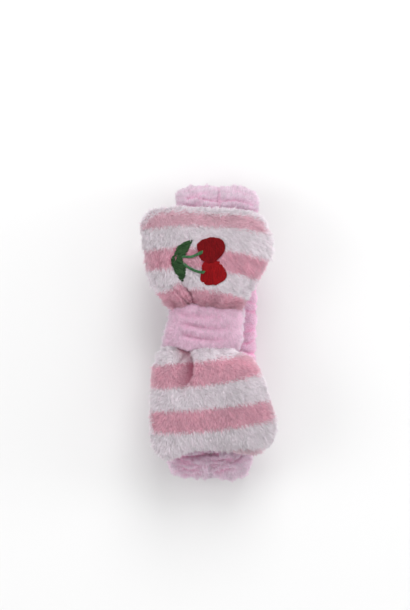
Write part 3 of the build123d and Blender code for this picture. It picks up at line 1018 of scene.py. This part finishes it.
UPPER_PLEATS = [
    pleat([(-13.2, 17.4), (-16.6, 22.1), (-20.8, 26.7), (-24.0, 31.5)], 5.0, 1.1, 1.0, dark=0.8),
    pleat([(-10.3, 18.0), (-12.1, 22.7), (-14.8, 27.3), (-18.5, 33.0)], 4.2, 1.1, 2.2),
    Crease([(-26.6, 33.0), (-28.6, 38.5), (-29.3, 44.0), (-29.6, 51.0)], 1.2, 1.3, 1.3, fade=0.4, dark=0.35),
    pleat([(2.2, 15.0), (3.4, 20.5), (5.0, 24.0)], 1.7, 1.1, 1.7, dark=0.7),
    pleat([(-7.3, 17.0), (-5.7, 20.7), (-3.5, 24.0)], 0.8, 1.6, 2.2, dark=0.3),
    pleat([(12.0, 14.5), (15.0, 20.0)], 0.6, 1.8, 2.2, dark=0.2),
    pleat([(-19.5, 16.0), (-23.0, 22.0)], 1.8, 1.8, 1.8, dark=0.35),
]
# where the pleats draw the stripes out, in millimetres along Y
UPPER_DRAWN = [pleat([(-11.8, 17.7), (-14.4, 22.4), (-17.8, 27.2), (-21.5, 33.0)], 4.0, 2.2, 1.8, fade=0.1)]
MAIN_PLEAT = [
    (-10.3, -12.3), (-8.9, -16.3), (-8.2, -20.0), (-8.1, -23.7), (-9.3, -27.5), (-11.6, -31.3),
    (-15.5, -36.0),
]
# where the rose of the gathered cloth shows under the knot
TURNED_IN_LINE = [(-18.5, -9.8), (-14.3, -11.6), (-10.8, -12.9), (-12.1, -14.6)]
TURNED_IN = Crease(TURNED_IN_LINE, 1.2, 1.0, 1.3, fade=0.4, dark=0.9)
LOWER_PLEATS = [
    pleat(MAIN_PLEAT, 4.6, 1.2, 7.5, fade=0.5, dark=1.3),
    pleat([(-10.3, -12.3), (-13.9, -15.1), (-16.4, -18.3), (-20.0, -22.0)], 3.4, 0.7, 2.6, fade=0.6),
    TURNED_IN,
    pleat([(6.0, -9.0), (10.0, -18.0)], 1.3, 3.0, 3.0, dark=0.15),
    pleat([(15.0, -9.0), (22.0, -18.0)], 1.3, 2.4, 2.4, dark=0.15),
]


FAR_BELOW = np.array((0, 0, 50.0))  # from a front panel to a place that it faces away from


def pillow_sheets(front, back):
    """(points, polygons) of two ring grids that share their rim, each closed at its centre and facing out."""
    middle = (front.mean((0, 1)) + back.mean((0, 1))) / 2
    points, polygons = [], []
    for grid, below in ((front, FAR_BELOW), (back, -FAR_BELOW)):
        half = Fabric(grid, True, middle - below)
        fan, centre, _ = half.cap()
        start = sum(len(p) for p in points)
        points.append(np.concatenate([grid.reshape(-1, 3), [centre]]))
        polygons += [half.faces() + start, fan + start]
    return np.concatenate(points), polygons


def weld(piece):
    """Joins the points that two sheets share along their rim."""
    shape = bmesh.new()
    shape.from_mesh(piece.data)
    bmesh.ops.remove_doubles(shape, verts=shape.verts, dist=0.02 * MM)
    shape.to_mesh(piece.data)
    shape.free()


# ---- the stuffing, by cloth simulation ----
STUFF_CELL = 3.6  # the size of the simulated cloth's cells
STUFF_FRAMES = 20
STUFF_PRESSURE = 4.0
STUFF_SPARE = 0.05  # how much wider the cloth is cut than the shape it fills
STUFF_LIMIT = 2.0  # how far a point may move
STUFF_HELD = 2.0  # how far out from the knot the cloth is held still
STUFF_NEAR = 6  # simulated points that move each point of the fine fabric


def simulated_cloth(points, polygons, held):
    """The points of a closed pillow before and after it swells as cloth, held where held(points) is true."""
    pillow = cloth_object(points, polygons)
    before = mesh_points(pillow.data)
    group = pillow.vertex_groups.new(name="held")
    group.add(np.nonzero(held(before))[0].tolist(), 1.0, "REPLACE")
    cloth = pillow.modifiers.new("cloth", "CLOTH")
    cloth.settings.vertex_group_mass = "held"
    cloth.settings.use_pressure = True
    cloth.settings.uniform_pressure_force = STUFF_PRESSURE
    cloth.settings.shrink_min = -STUFF_SPARE
    cloth.settings.effector_weights.gravity = 0
    cloth.point_cache.frame_end = STUFF_FRAMES
    for step in range(1, STUFF_FRAMES + 1):
        bpy.context.scene.frame_set(step)
    swollen = evaluated_mesh(pillow)
    after = mesh_points(swollen)
    bpy.data.objects.remove(pillow)
    bpy.data.meshes.remove(swollen)
    bpy.context.scene.frame_set(1)
    return before, after


def cloth_object(points, polygons):
    """An even mesh of the pillow, from a voxel remesh of its two sheets."""
    mesh = bpy.data.meshes.new("pillow")
    mesh.from_pydata((points * MM).tolist(), [], [p for sheet in polygons for p in sheet.tolist()])
    pillow = placed("pillow", mesh)
    weld(pillow)
    remesh = pillow.modifiers.new("even", "REMESH")
    remesh.mode = "VOXEL"
    remesh.voxel_size = STUFF_CELL * MM
    pillow.data = evaluated_mesh(pillow)
    pillow.modifiers.remove(remesh)
    return pillow


def evaluated_mesh(piece):
    return bpy.data.meshes.new_from_object(piece.evaluated_get(bpy.context.evaluated_depsgraph_get()))


def mesh_points(mesh):
    points = np.empty(len(mesh.vertices) * 3, np.float32)
    mesh.vertices.foreach_get("co", points)
    return points.reshape(-1, 3).astype(float) / MM


def carried(points, before, moves):
    """How far each point moves with its nearest simulated points."""
    tree = KDTree(len(before))
    for i, place in enumerate(before):
        tree.insert(place, i)
    tree.balance()
    found = [tree.find_n(place, STUFF_NEAR) for place in points]
    near = np.array([[hit[1] for hit in hits] for hits in found])
    reach = np.array([[hit[2] for hit in hits] for hits in found])
    weights = 1 / (reach**2 + 0.5)
    return (moves[near] * weights[..., None]).sum(1) / weights.sum(1, keepdims=True)


class Lobe:
    """One padded lobe of the bow: a closed pillow whose neck runs into the knot."""

    def __init__(self, name, outline, stripes, first_tint, pleats, drawn, outward, lean):
        self.name, self.stripes, self.first_tint = name, stripes, first_tint
        self.pleats, self.drawn, self.outward = pleats, drawn, outward
        self.lean = np.array(lean, float)
        self.rim = closed_curve(outline, SPOKES)
        self.centre = np.array([self.rim[:, 0].mean(), (self.rim[:, 1].min() + self.rim[:, 1].max()) / 2])
        self.simulated = self.stuff()

    def stuff(self):
        """(points, moves) of the lobe's cloth as it swells, held where it runs into the knot."""
        sheets = [self.surface(front)[0] for front in (True, False)]
        points, polygons = pillow_sheets(*(sheet[::4, ::5] for sheet in sheets))
        before, after = simulated_cloth(points, polygons, lambda p: self.away(p[:, 0], p[:, 1]) < STUFF_HELD)
        moves = after - before
        reach = np.linalg.norm(moves, axis=1, keepdims=True)
        return before, moves * np.minimum(1, STUFF_LIMIT / np.maximum(reach, 1e-6))

    def swell(self, grid):
        """The grid moved as the simulated cloth moved."""
        if self.simulated is None:
            return grid
        return grid + carried(grid.reshape(-1, 3), *self.simulated).reshape(grid.shape)

    def tint(self, x, y):
        drawn = sum(crease.push(x, y) for crease in self.drawn) if self.drawn else 0
        striped = stripe_tint(x, y + drawn * self.outward, self.stripes, self.first_tint)
        if self.outward < 0:
            striped = np.maximum(striped, TURNED_IN.profile(x, y))
        from_rim = self.from_rim(x, y)
        striped = striped * (1 - FAR_FADE * smoothstep(np.abs(y), *FAR_RANGE))
        striped = striped * (1 - EDGE_FADE + EDGE_FADE * smoothstep(from_rim, *EDGE_RANGE))
        start, end = RIM_RANGE[self.outward]
        width = RIM * smoothstep(np.abs(y), *start) * (1 - smoothstep(np.abs(y), *end))
        return np.where(from_rim < width, 0, striped)

    def from_rim(self, x, y):
        """The distance in from the outline, measured towards the centre."""
        turn = np.arctan2(*(self.rim - self.centre).T[::-1])
        order = np.argsort(turn)
        reach = np.linalg.norm(self.rim - self.centre, axis=1)[order]
        x, y = x - self.centre[0], y - self.centre[1]
        return np.interp(np.arctan2(y, x), turn[order], reach, period=2 * math.pi) - np.hypot(x, y)

    def away(self, x, y):
        """The distance out from the knot's edge."""
        return (y - along(KNOT_EDGES[self.outward], x)) * self.outward

    def lie(self, points):
        """The pile's lean: one way all over, but out from the gathers near the knot."""
        near = np.exp(-np.maximum(self.away(points[:, 0], points[:, 1]), 0) / GATHERED)[:, None]
        spread = np.zeros_like(points)
        spread[:, 0], spread[:, 1] = (points[:, 0] - KNOT_X) * SPREAD[0], self.outward * SPREAD[1]
        spread[:, 2] = SPREAD[2]
        return self.lean * (1 - near) + spread * near

    def painted_shade(self, points):
        """Painted light on the lower lobe's pile at the knot's right, and painted shade further out."""
        x, away = points[:, 0], self.away(points[:, 0], points[:, 1])
        if self.outward > 0:
            return np.zeros(len(points))
        painted_light_share, painted_shade_share = 1 - smoothstep(away, 5, 11), smoothstep(away, 12, 24)
        return PAINTED_SHADE_LOWER_RIGHT * smoothstep(x, 0, 14) * painted_shade_share - PAINTED_LIGHT_AT_KNOT * smoothstep(x, -6, 4) * painted_light_share

    def plan(self, inset):
        """x and y of the rings, and how far out each ring is, from 0 to 1."""
        share = np.sin(np.linspace(0.012, 1, RINGS) * math.pi / 2) ** 0.92
        spokes = self.rim - self.centre
        reach = np.linalg.norm(spokes, axis=1, keepdims=True)
        spokes = spokes * (1 - inset / reach)
        return self.centre[None, None] + share[:, None, None] * spokes[None], share

    def neck(self, x, y):
        """From 0 inside the knot to 1 where the lobe is at its full thickness."""
        return smoothstep(self.away(x, y), *NECK_RANGE)

    def seam_height(self, x, y):
        """The height of the seam: it dips into the knot, and droops where nothing is under it."""
        hang = smoothstep(np.abs(x - BAND_X) - BAND_HALF_WIDTH, *HANG_RANGE)
        return WAIST_Z + (SEAM_Z - WAIST_Z) * self.neck(x, y) - DROOP * hang

    def surface(self, front, inset=0.0):
        """(grid, painted shade of its pleats and puckers) of one panel, the pleats pressed in."""
        plan, share = self.plan(OUTLINE_INSET + inset)
        x, y = plan[..., 0], plan[..., 1]
        crown = (1 - share ** CROWN[0]) ** CROWN[1]
        waist = WAIST_HALF_HEIGHT * NECK_HEIGHT
        bulge = BULGE if front else BACK_BULGE
        height = (waist + (bulge - waist) * self.neck(x, y) - inset) * crown[:, None]
        lump = noise(np.stack([x, y, np.full_like(x, 3.0 if front else 30.0)], -1), LUMP[0], 71)
        height = height * (1 + LUMP[1] * lump)
        fold = np.zeros_like(x)
        if front:
            gathers = self.gathers(x, y)
            limit = PLEAT_LIMIT * (0.4 + 0.6 * smoothstep(self.away(x, y), -1.0, 6.0))
            press = gathers - limit * (1 - np.exp(sum(pleat.push(x, y) for pleat in self.pleats) / limit))
            inner = smoothstep(1 - share, 0, 0.12)[:, None]
            height = height + press * inner
            # painted shade along the pleats and in the puckers' hollows
            fold = np.clip(sum(pleat.shadow(x, y) for pleat in self.pleats) - 0.15 * gathers, 0, 1) * inner
        z = self.seam_height(x, y) + (height if front else -height)
        if not front:
            over_band = 1 - smoothstep(np.abs(x - BAND_X), BAND_HALF_WIDTH - 1, BAND_HALF_WIDTH + 5)
            z = np.maximum(z, (BAND_TOP + PILE * 0.6) * over_band + z * (1 - over_band))
        return np.stack([x, y, z], -1), fold

    def gathers(self, x, y):
        """Small puckers that run out from the knot."""
        away = self.away(x, y)
        spread = (x - KNOT_X) / (1 + np.maximum(away, 0) * 0.018)
        place = np.stack([spread, away * 0.12, np.full_like(x, 5.0)], -1)
        cell, strength, fade = PUCKER
        return strength * noise(place, cell, 81) * np.exp(-np.maximum(away, 0) / fade)

    def fabric(self, front):
        grid, fold = self.surface(front)
        grid = self.swell(grid)
        return Fabric(grid, True, grid.mean((0, 1)) - (FAR_BELOW if front else -FAR_BELOW), fold)


HIDDEN_PILE = 3.0  # how far in under the knot the pile goes
THREAD_CLEAR = (0.0, 2.0, 3.6)  # the distances ahead of a tuft at which it mustn't lie over the embroidery


def make_lobe(lobe, seed):
    """Both panels and the wadding of one lobe; gives back its front's fabric."""
    hinge = joint_mm(f"{lobe.name}_lobe_lift")
    knot_y = KNOT_Y + lobe.outward * KNOT_HALF_LENGTH
    start = metres((KNOT_X, knot_y, hinge[2]))
    end = metres((KNOT_X, hinge[1] + (hinge[1] - knot_y), hinge[2]))

    def beyond_knot(root):
        return lobe.away(root[:, 0], root[:, 1]) > -HIDDEN_PILE

    def bare_under_thread(root):
        ahead = [root + lobe.lean * reach for reach in THREAD_CLEAR]
        return beyond_knot(root) & ~np.any([under_thread(place) for place in ahead], axis=0)

    panels = {"front": lobe.fabric(True), "back": lobe.fabric(False)}
    for panel, fabric in panels.items():
        front = panel == "front"
        pile = Pile(LOBE_DENSITY[panel], lobe.lie, seed=seed + front, painted_shade=lobe.painted_shade)
        keep = bare_under_thread if front and lobe.outward > 0 else beyond_knot
        name = f"{lobe.name}_lobe_{panel}"
        piece = fleece_piece(name, fabric, pile, STRIPED, "striped_fleece", lobe.tint, keep, capped=True)
        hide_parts(f"{name}_panel")
        place_lobe_piece(piece)
    wadding = make_wadding(lobe, seed + 5)
    place_lobe_piece(wadding)
    return panels["front"]


def place_lobe_piece(piece):
    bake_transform(piece)


# ---- the cherries, in embroidery thread ----
THREAD = 0.42  # the pitch of the thread's rows
THREAD_LIFT = 0.75  # of the stitching over its fabric, down in the pile
STITCH = 2.6  # the longest stitch in a filled shape
STEM_WIDTH = 1.2
STEM_LIFT = 0.8  # of the stems over the rest
STRAND_STEPS = 7
STRAND_SIDES = 5
STRAND_HALF = THREAD * 0.62  # a strand's half width
STRAND_HEIGHT = 0.8  # its height over its half width
STRAND_DIP = 0.25  # how far its ends go down
STRAND_OVER = 0.15  # how far they run past the stitch
OUTLINES = {
    "cherry_upper": [
        (-8.2, 52.2), (-6.9, 54.2), (-5.1, 55.6), (-2.2, 56.7), (-0.1, 57.5), (2.8, 57.2), (5.5, 56.6),
        (7.7, 55.0), (8.8, 52.2), (8.3, 49.6), (7.1, 47.3), (5.0, 45.0), (2.9, 42.8), (-0.2, 42.1),
        (-3.2, 43.0), (-5.3, 43.9), (-6.7, 46.2), (-7.3, 49.2),
    ],
    "cherry_lower": [
        (-3.2, 42.8), (-0.2, 43.1), (3.2, 43.2), (5.6, 42.8), (7.2, 40.9), (8.9, 39.1), (9.7, 36.8),
        (10.2, 34.8), (9.3, 32.7), (7.0, 30.8), (3.8, 29.1), (1.7, 29.2), (-0.4, 28.9), (-2.8, 29.2),
        (-4.2, 30.1), (-5.7, 32.6), (-5.4, 34.9), (-4.5, 37.0), (-4.9, 39.6), (-4.3, 41.3),
    ],
    "cherry_leaf_upper": [
        (-11.4, 55.8), (-13.3, 55.0), (-15.4, 54.5), (-17.2, 53.0), (-19.3, 51.5), (-20.5, 49.2),
        (-21.0, 46.3), (-19.9, 46.6), (-18.9, 47.3), (-17.8, 45.4), (-16.6, 45.5), (-15.2, 46.5),
        (-14.6, 48.1), (-13.7, 49.3), (-13.1, 51.5), (-12.2, 53.2),
    ],
    "cherry_leaf_lower": [
        (-18.9, 47.2), (-17.3, 45.5), (-16.9, 43.3), (-15.6, 41.6), (-15.0, 39.3), (-15.2, 37.0),
        (-14.8, 35.6), (-15.5, 33.2), (-17.4, 30.4), (-18.8, 33.1), (-20.5, 35.6), (-21.4, 38.1),
        (-22.7, 40.1), (-23.1, 42.2), (-22.9, 43.9), (-21.6, 45.6), (-20.8, 46.3), (-21.9, 43.8),
        (-21.6, 42.0), (-20.9, 42.3), (-19.9, 44.3), (-19.4, 46.1),
    ],
}
STEM_LINES = {
    "cherry_stem_upper": [
        (-16.5, 45.5), (-13.9, 45.4), (-10.9, 45.6), (-8.3, 46.8), (-6.2, 47.8), (-4.8, 48.4),
    ],
    "cherry_stem_lower": [
        (-15.7, 41.4), (-13.7, 39.6), (-10.7, 37.9), (-7.5, 36.7), (-4.9, 36.4), (-3.4, 36.3),
    ],
}
CHERRY = {"count": 72, "material": RED, "slot": "red_thread", "ragged": 0.3}
LEAVES = {"count": 60, "material": LEAF, "slot": "leaf_thread", "ragged": 0.9, "shades": (0.0, 1.0)}
# each filled shape: the angle of its threads in degrees, how far it lies over the rest, its range of shades
FILLED = {
    "cherry_upper": {**CHERRY, "angle": 96.0, "lift": 0.25, "shades": (0.05, 0.40)},
    "cherry_lower": {**CHERRY, "angle": 84.0, "lift": 0.0, "shades": (0.40, 0.90)},
    "cherry_leaf_upper": {**LEAVES, "angle": 20.0, "lift": 0.3},
    "cherry_leaf_lower": {**LEAVES, "angle": 155.0, "lift": 0.1},
}
SHAPES = {name: closed_curve(OUTLINES[name], look["count"]) for name, look in FILLED.items()}


def inside(points, outline):
    """Which points lie inside a closed outline."""
    x, y = points[:, 0:1], points[:, 1:2]
    start, end = outline, np.roll(outline, -1, 0)
    crosses = (start[None, :, 1] > y) != (end[None, :, 1] > y)
    run, rise = (end - start).T
    at = start[None, :, 0] + (y - start[None, :, 1]) * run[None] / np.where(rise == 0, 1e-9, rise)
    return (crosses & (x < at)).sum(1) % 2 == 1


def under_thread(root):
    """Which points of the upper lobe's front the embroidery covers, so that no pile grows there."""
    covered = np.zeros(len(root), bool)
    for outline in SHAPES.values():
        covered |= inside(root, outline)
    for line in STEM_LINES.values():
        path = smooth_line(line, 40)
        away = np.linalg.norm(root[:, None, :2] - path[None], axis=2).min(1)
        covered |= away < STEM_WIDTH / 2
    return covered


def filled(outline, angle, random, ragged):
    """(start, end) of the stitches that fill an outline with rows of staggered thread."""
    a = math.radians(angle)
    run, step = np.array([math.cos(a), math.sin(a)]), np.array([-math.sin(a), math.cos(a)])
    reach = outline @ step
    stitches = []
    for row, offset in enumerate(np.arange(reach.min() + THREAD / 2, reach.max(), THREAD)):
        after = np.roll(reach, -1)
        crossing = np.nonzero((reach > offset) != (after > offset))[0]
        share = (offset - reach[crossing]) / (after[crossing] - reach[crossing])
        step_to_next = np.roll(outline, -1, 0)[crossing] - outline[crossing]
        places = np.sort((outline[crossing] + share[:, None] * step_to_next) @ run)
        for low, high in zip(places[::2], places[1::2]):
            low, high = low - random.uniform(-0.1, ragged), high + random.uniform(-0.1, ragged)
            first = low + STITCH * (0.35 + 0.27 * (row % 3))
            marks = [low, *np.arange(first, high - STITCH * 0.3, STITCH), high]
            places = [run * mark + step * offset for mark in marks]
            stitches += zip(places[:-1], places[1:])
    return stitches


def column(path, width, random):
    """(start, end) of satin stitches across a narrow path, with a rounder end."""
    count = int(np.linalg.norm(np.diff(path, axis=0), axis=1).sum() / THREAD)
    line = smooth_line(path, count)
    along_line = unit(np.gradient(line, axis=0))
    across = np.stack([-along_line[:, 1], along_line[:, 0]], 1)
    half = width / 2 * (1 + 0.35 * np.exp(-((np.arange(count) - count + 4) / 3.0) ** 2))
    half = half * (1 + 0.08 * random.standard_normal(count))
    slant = along_line * 0.5
    return [(p - q * h - s, p + q * h + s) for p, q, h, s in zip(line, across, half, slant)]


def strand(start, end, surface, random, crown):
    """One stitch: a rounded strand that rises from the fabric and dips back into it."""
    share = np.linspace(0, 1, STRAND_STEPS)
    arch = np.sqrt(np.clip(1 - np.abs(2 * share - 1) ** 4, 0, 1))
    along_line = unit(end - start)
    across = np.array([-along_line[1], along_line[0]])
    line = start - along_line * STRAND_OVER + (end - start + along_line * STRAND_OVER * 2) * share[:, None]
    ground = np.array([surface(x, y) for x, y in line]) + 0.04 * random.standard_normal()
    rows = []
    for angle in np.linspace(math.pi, 0, STRAND_SIDES):
        place = line + across * (STRAND_HALF * math.cos(angle))
        height = ground + crown - STRAND_DIP * (1 - arch) + STRAND_HALF * STRAND_HEIGHT * math.sin(angle)
        rows.append(np.column_stack([place, height]))
    return np.concatenate(rows)


def thread_piece(name, stitches, surface, material, slot, random, crown, shades=(0.0, 1.0)):
    """Stitches in thread whose lightness varies from strand to strand."""
    points = np.concatenate([strand(start, end, surface, random, crown) for start, end in stitches])
    size = STRAND_STEPS * STRAND_SIDES
    strip = grid_faces(STRAND_SIDES, STRAND_STEPS, False)
    faces = (np.arange(len(stitches))[:, None, None] * size + strip[None]).reshape(-1, 4)
    shade = np.repeat(random.uniform(*shades, len(stitches)), size)
    piece = new_piece(name, points, [faces], material, slot, {"shade": shade})
    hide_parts(name)
    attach(piece, "upper_lobe")


def make_cherries(fabric):
    """Satin and fill stitches laid on the upper lobe's front panel."""
    fan, centre, _ = fabric.cap()
    points = [*fabric.grid.reshape(-1, 3).tolist(), list(centre)]
    tree = BVHTree.FromPolygons(points, [*fabric.faces().tolist(), *fan.tolist()])

    def surface(x, y):
        hit = tree.ray_cast(Vector((x, y, 200.0)), Vector((0, 0, -1)))[0]
        return hit.z if hit else SEAM_Z

    random = np.random.default_rng(601)
    for name, look in FILLED.items():
        stitches = filled(SHAPES[name], look["angle"], random, look["ragged"])
        material, slot, crown = look["material"], look["slot"], THREAD_LIFT + look["lift"]
        thread_piece(name, stitches, surface, material, slot, random, crown, look["shades"])
    for name, line in STEM_LINES.items():
        stitches = column(line, STEM_WIDTH, random)
        thread_piece(name, stitches, surface, STEM, "stem_thread", random, THREAD_LIFT + STEM_LIFT)


# ---- what the bow holds inside ----
WADDING_INSET = 2.6
WADDING_LUMP = (4.0, 0.35)  # the cell and the strength of its lumps
WADDING_GAP = (0.6, 0.4)  # more room left under the front panel and over the back one
WAIST_INSET = np.array((2.5, 0, 1.2))


def make_wadding(lobe, seed):
    """The lobe's soft filling, one closed lumpy solid under the two panels."""
    front, back = (lobe.swell(lobe.surface(side, WADDING_INSET)[0]) for side in (True, False))
    lump = WADDING_LUMP[1] * noise(front, WADDING_LUMP[0], seed)
    front[..., 2] += lump * (1 - np.linspace(0, 1, RINGS)[:, None] ** 4) - WADDING_GAP[0]
    back[..., 2] = np.minimum(back[..., 2] + WADDING_GAP[1], front[..., 2])
    points, polygons = pillow_sheets(front, back)
    piece = new_piece(f"{lobe.name}_lobe_wadding_pad", points, polygons, WADDING, "wadding")
    weld(piece)
    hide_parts(f"{lobe.name}_lobe_wadding")
    return piece


def bar_grid(low, high, rows, columns, power):
    """A rounded bar along Y between two corners, as a grid of rings."""
    middle, half = (low + high) / 2, (high - low) / 2
    across, up = ring(np.linspace(0, 2 * math.pi, columns, endpoint=False), power)
    grid = np.zeros((rows, columns, 3))
    grid[..., 0] = middle[0] + half[0] * across
    grid[..., 1] = np.linspace(low[1], high[1], rows)[:, None]
    grid[..., 2] = middle[2] + half[2] * up
    return grid


def make_waist():
    """The bow's gathered middle, pleated along the band inside the knot."""
    grid = bar_grid(WAIST_LOW + WAIST_INSET, WAIST_HIGH - WAIST_INSET, rows=24, columns=160, power=0.8)
    plain = Fabric(grid, True, grid.mean(1, keepdims=True))
    pleats = 0.7 * noise(grid * (1, 0.12, 1), 2.6, 91)
    # painted shade in the hollows of the pleats
    fabric = plain.pushed(pleats - 0.3, np.clip(-pleats, 0, 1))

    def tint(x, y):
        return (y > KNOT_Y).astype(float)

    pile = Pile(WAIST_DENSITY, fixed_lean(0, 0.5, 0), seed=311, length=1.2)
    piece = fleece_piece("waist", fabric, pile, STRIPED, "striped_fleece", tint=tint)
    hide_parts("bow_waist")
    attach(piece, "bow_centre")


CLOSING_COUNT = 9
CLOSING_STEPS = 9
CLOSING_SIDES = 8
CLOSING_SLANT = 1.3
CLOSING_RADIUS = 0.3
CLOSING_DIP = 0.9  # how far a stitch's ends go up into the strip


def closing_strand(y):
    """One slanted hand stitch, as rings of points."""
    share = np.linspace(0, 1, CLOSING_STEPS)
    turn = np.linspace(0, 2 * math.pi, CLOSING_SIDES, endpoint=False)
    x = STITCH_LOW[0] + (STITCH_HIGH[0] - STITCH_LOW[0]) * share
    z = STITCH_LOW[2] + CLOSING_DIP * (2 * share - 1) ** 2
    middle = np.column_stack([x, y + (share - 0.5) * CLOSING_SLANT, z])
    thick = CLOSING_RADIUS * np.sqrt(np.clip(1.02 - (2 * share - 1) ** 4, 0.02, 1))
    ring_points = np.stack([0 * turn, np.cos(turn), np.sin(turn)], 1)
    return (middle[:, None] + ring_points[None] * thick[:, None, None]).reshape(-1, 3)


def make_closing_stitches():
    """Hand stitches that close the strip under the band, each one a strand that dips in at its ends."""
    places = np.linspace(STITCH_LOW[1] + 1.0, STITCH_HIGH[1] - 1.0, CLOSING_COUNT)
    points = np.concatenate([closing_strand(y) for y in places])
    size = CLOSING_STEPS * CLOSING_SIDES
    starts = (np.arange(CLOSING_COUNT) * size)[:, None]
    faces = (starts[..., None] + grid_faces(CLOSING_STEPS, CLOSING_SIDES, True)[None]).reshape(-1, 4)
    end = np.arange(CLOSING_SIDES)
    caps = np.concatenate([starts + end[::-1], starts + size - CLOSING_SIDES + end])
    values = {"shade": np.full(len(points), 0.5)}
    piece = new_piece("closing_stitches", points, [faces, caps], PINK_THREAD, "pink_thread", values)
    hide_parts("knot_closing_stitches")
    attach(piece, "bow_centre")


# ---- camera, floor and light ----
CAMERA_AIM = (-2.4, 16.7, 30.0)
CAMERA_ROLL = 1.42  # in degrees
CAMERA_HEIGHT = 1200.0
FRAME_HEIGHT = 373.1
SENSOR = 36.0
FLOOR_HALF = 3.0  # in metres, as the lamps' places and sizes are
FLOOR_SHADES = (0.83, 0.83, 0.83), (0.85, 0.85, 0.85)
WORLD_STRENGTH = 0.60
LAMPS = {  # place, size and power
    "key": ((0.20, 1.15, 1.0), 0.9, 13.0),
    "right": ((1.25, 0.3, 0.6), 0.9, 2.2),
    "edge": ((1.2, 0.1, 0.25), 0.5, 5.8),
    "left": ((-1.25, 0.0, 0.8), 0.9, 6.0),
    "low": ((-0.2, -1.25, 0.9), 0.9, 2.2),
}


def make_camera():
    """Straight above the headband, turned a little about the vertical."""
    camera = bpy.data.cameras.new("camera")
    camera.sensor_width = SENSOR
    camera.lens = SENSOR * CAMERA_HEIGHT / FRAME_HEIGHT
    camera.clip_start, camera.clip_end = 0.05, 20.0
    holder = placed("camera", camera)
    x, y, z = CAMERA_AIM
    holder.location = metres((x, y, z + CAMERA_HEIGHT))
    holder.rotation_euler = (0, 0, math.radians(CAMERA_ROLL))
    bpy.context.scene.camera = holder


def make_floor():
    half = FLOOR_HALF
    mesh = bpy.data.meshes.new("floor")
    corners = [(-half, -half, 0), (half, -half, 0), (half, half, 0), (-half, half, 0)]
    mesh.from_pydata(corners, [], [(0, 1, 2, 3)])
    material, tree, shader = new_material("floor", {"Roughness": 0.9})
    tree.links.new(mix_node(tree, noise_node(tree, 3.0), *FLOOR_SHADES), shader.inputs["Base Color"])
    mesh.materials.append(material)
    placed("floor", mesh)


def add_lamp(name, place, size, power):
    """A square soft lamp that faces the headband."""
    lamp = bpy.data.lights.new(name, "AREA")
    lamp.size, lamp.energy = size, power
    holder = placed(name, lamp)
    holder.location = place
    holder.rotation_euler = (-Vector(place)).to_track_quat("-Z", "Y").to_euler()


def make_light():
    world = bpy.data.worlds.new("studio")
    bpy.context.scene.world = world
    world.use_nodes = True
    background = world.node_tree.nodes["Background"]
    background.inputs["Color"].default_value = (1.0, 1.0, 1.0, 1.0)
    background.inputs["Strength"].default_value = WORLD_STRENGTH
    for name, lamp in LAMPS.items():
        add_lamp(name, *lamp)
    bpy.context.scene.view_settings.view_transform = "Standard"


def main():
    make_camera()
    make_floor()
    make_light()
    make_loop()
    make_knot()
    upper = Lobe("upper", UPPER_OUTLINE, UPPER_STRIPES, 1, UPPER_PLEATS, UPPER_DRAWN, 1, UPPER_LEAN)
    lower = Lobe("lower", LOWER_OUTLINE, LOWER_STRIPES, 0, LOWER_PLEATS, [], -1, LOWER_LEAN)
    front = make_lobe(upper, 401)
    make_lobe(lower, 501)
    make_cherries(front)
    make_waist()
    make_closing_stitches()


main()
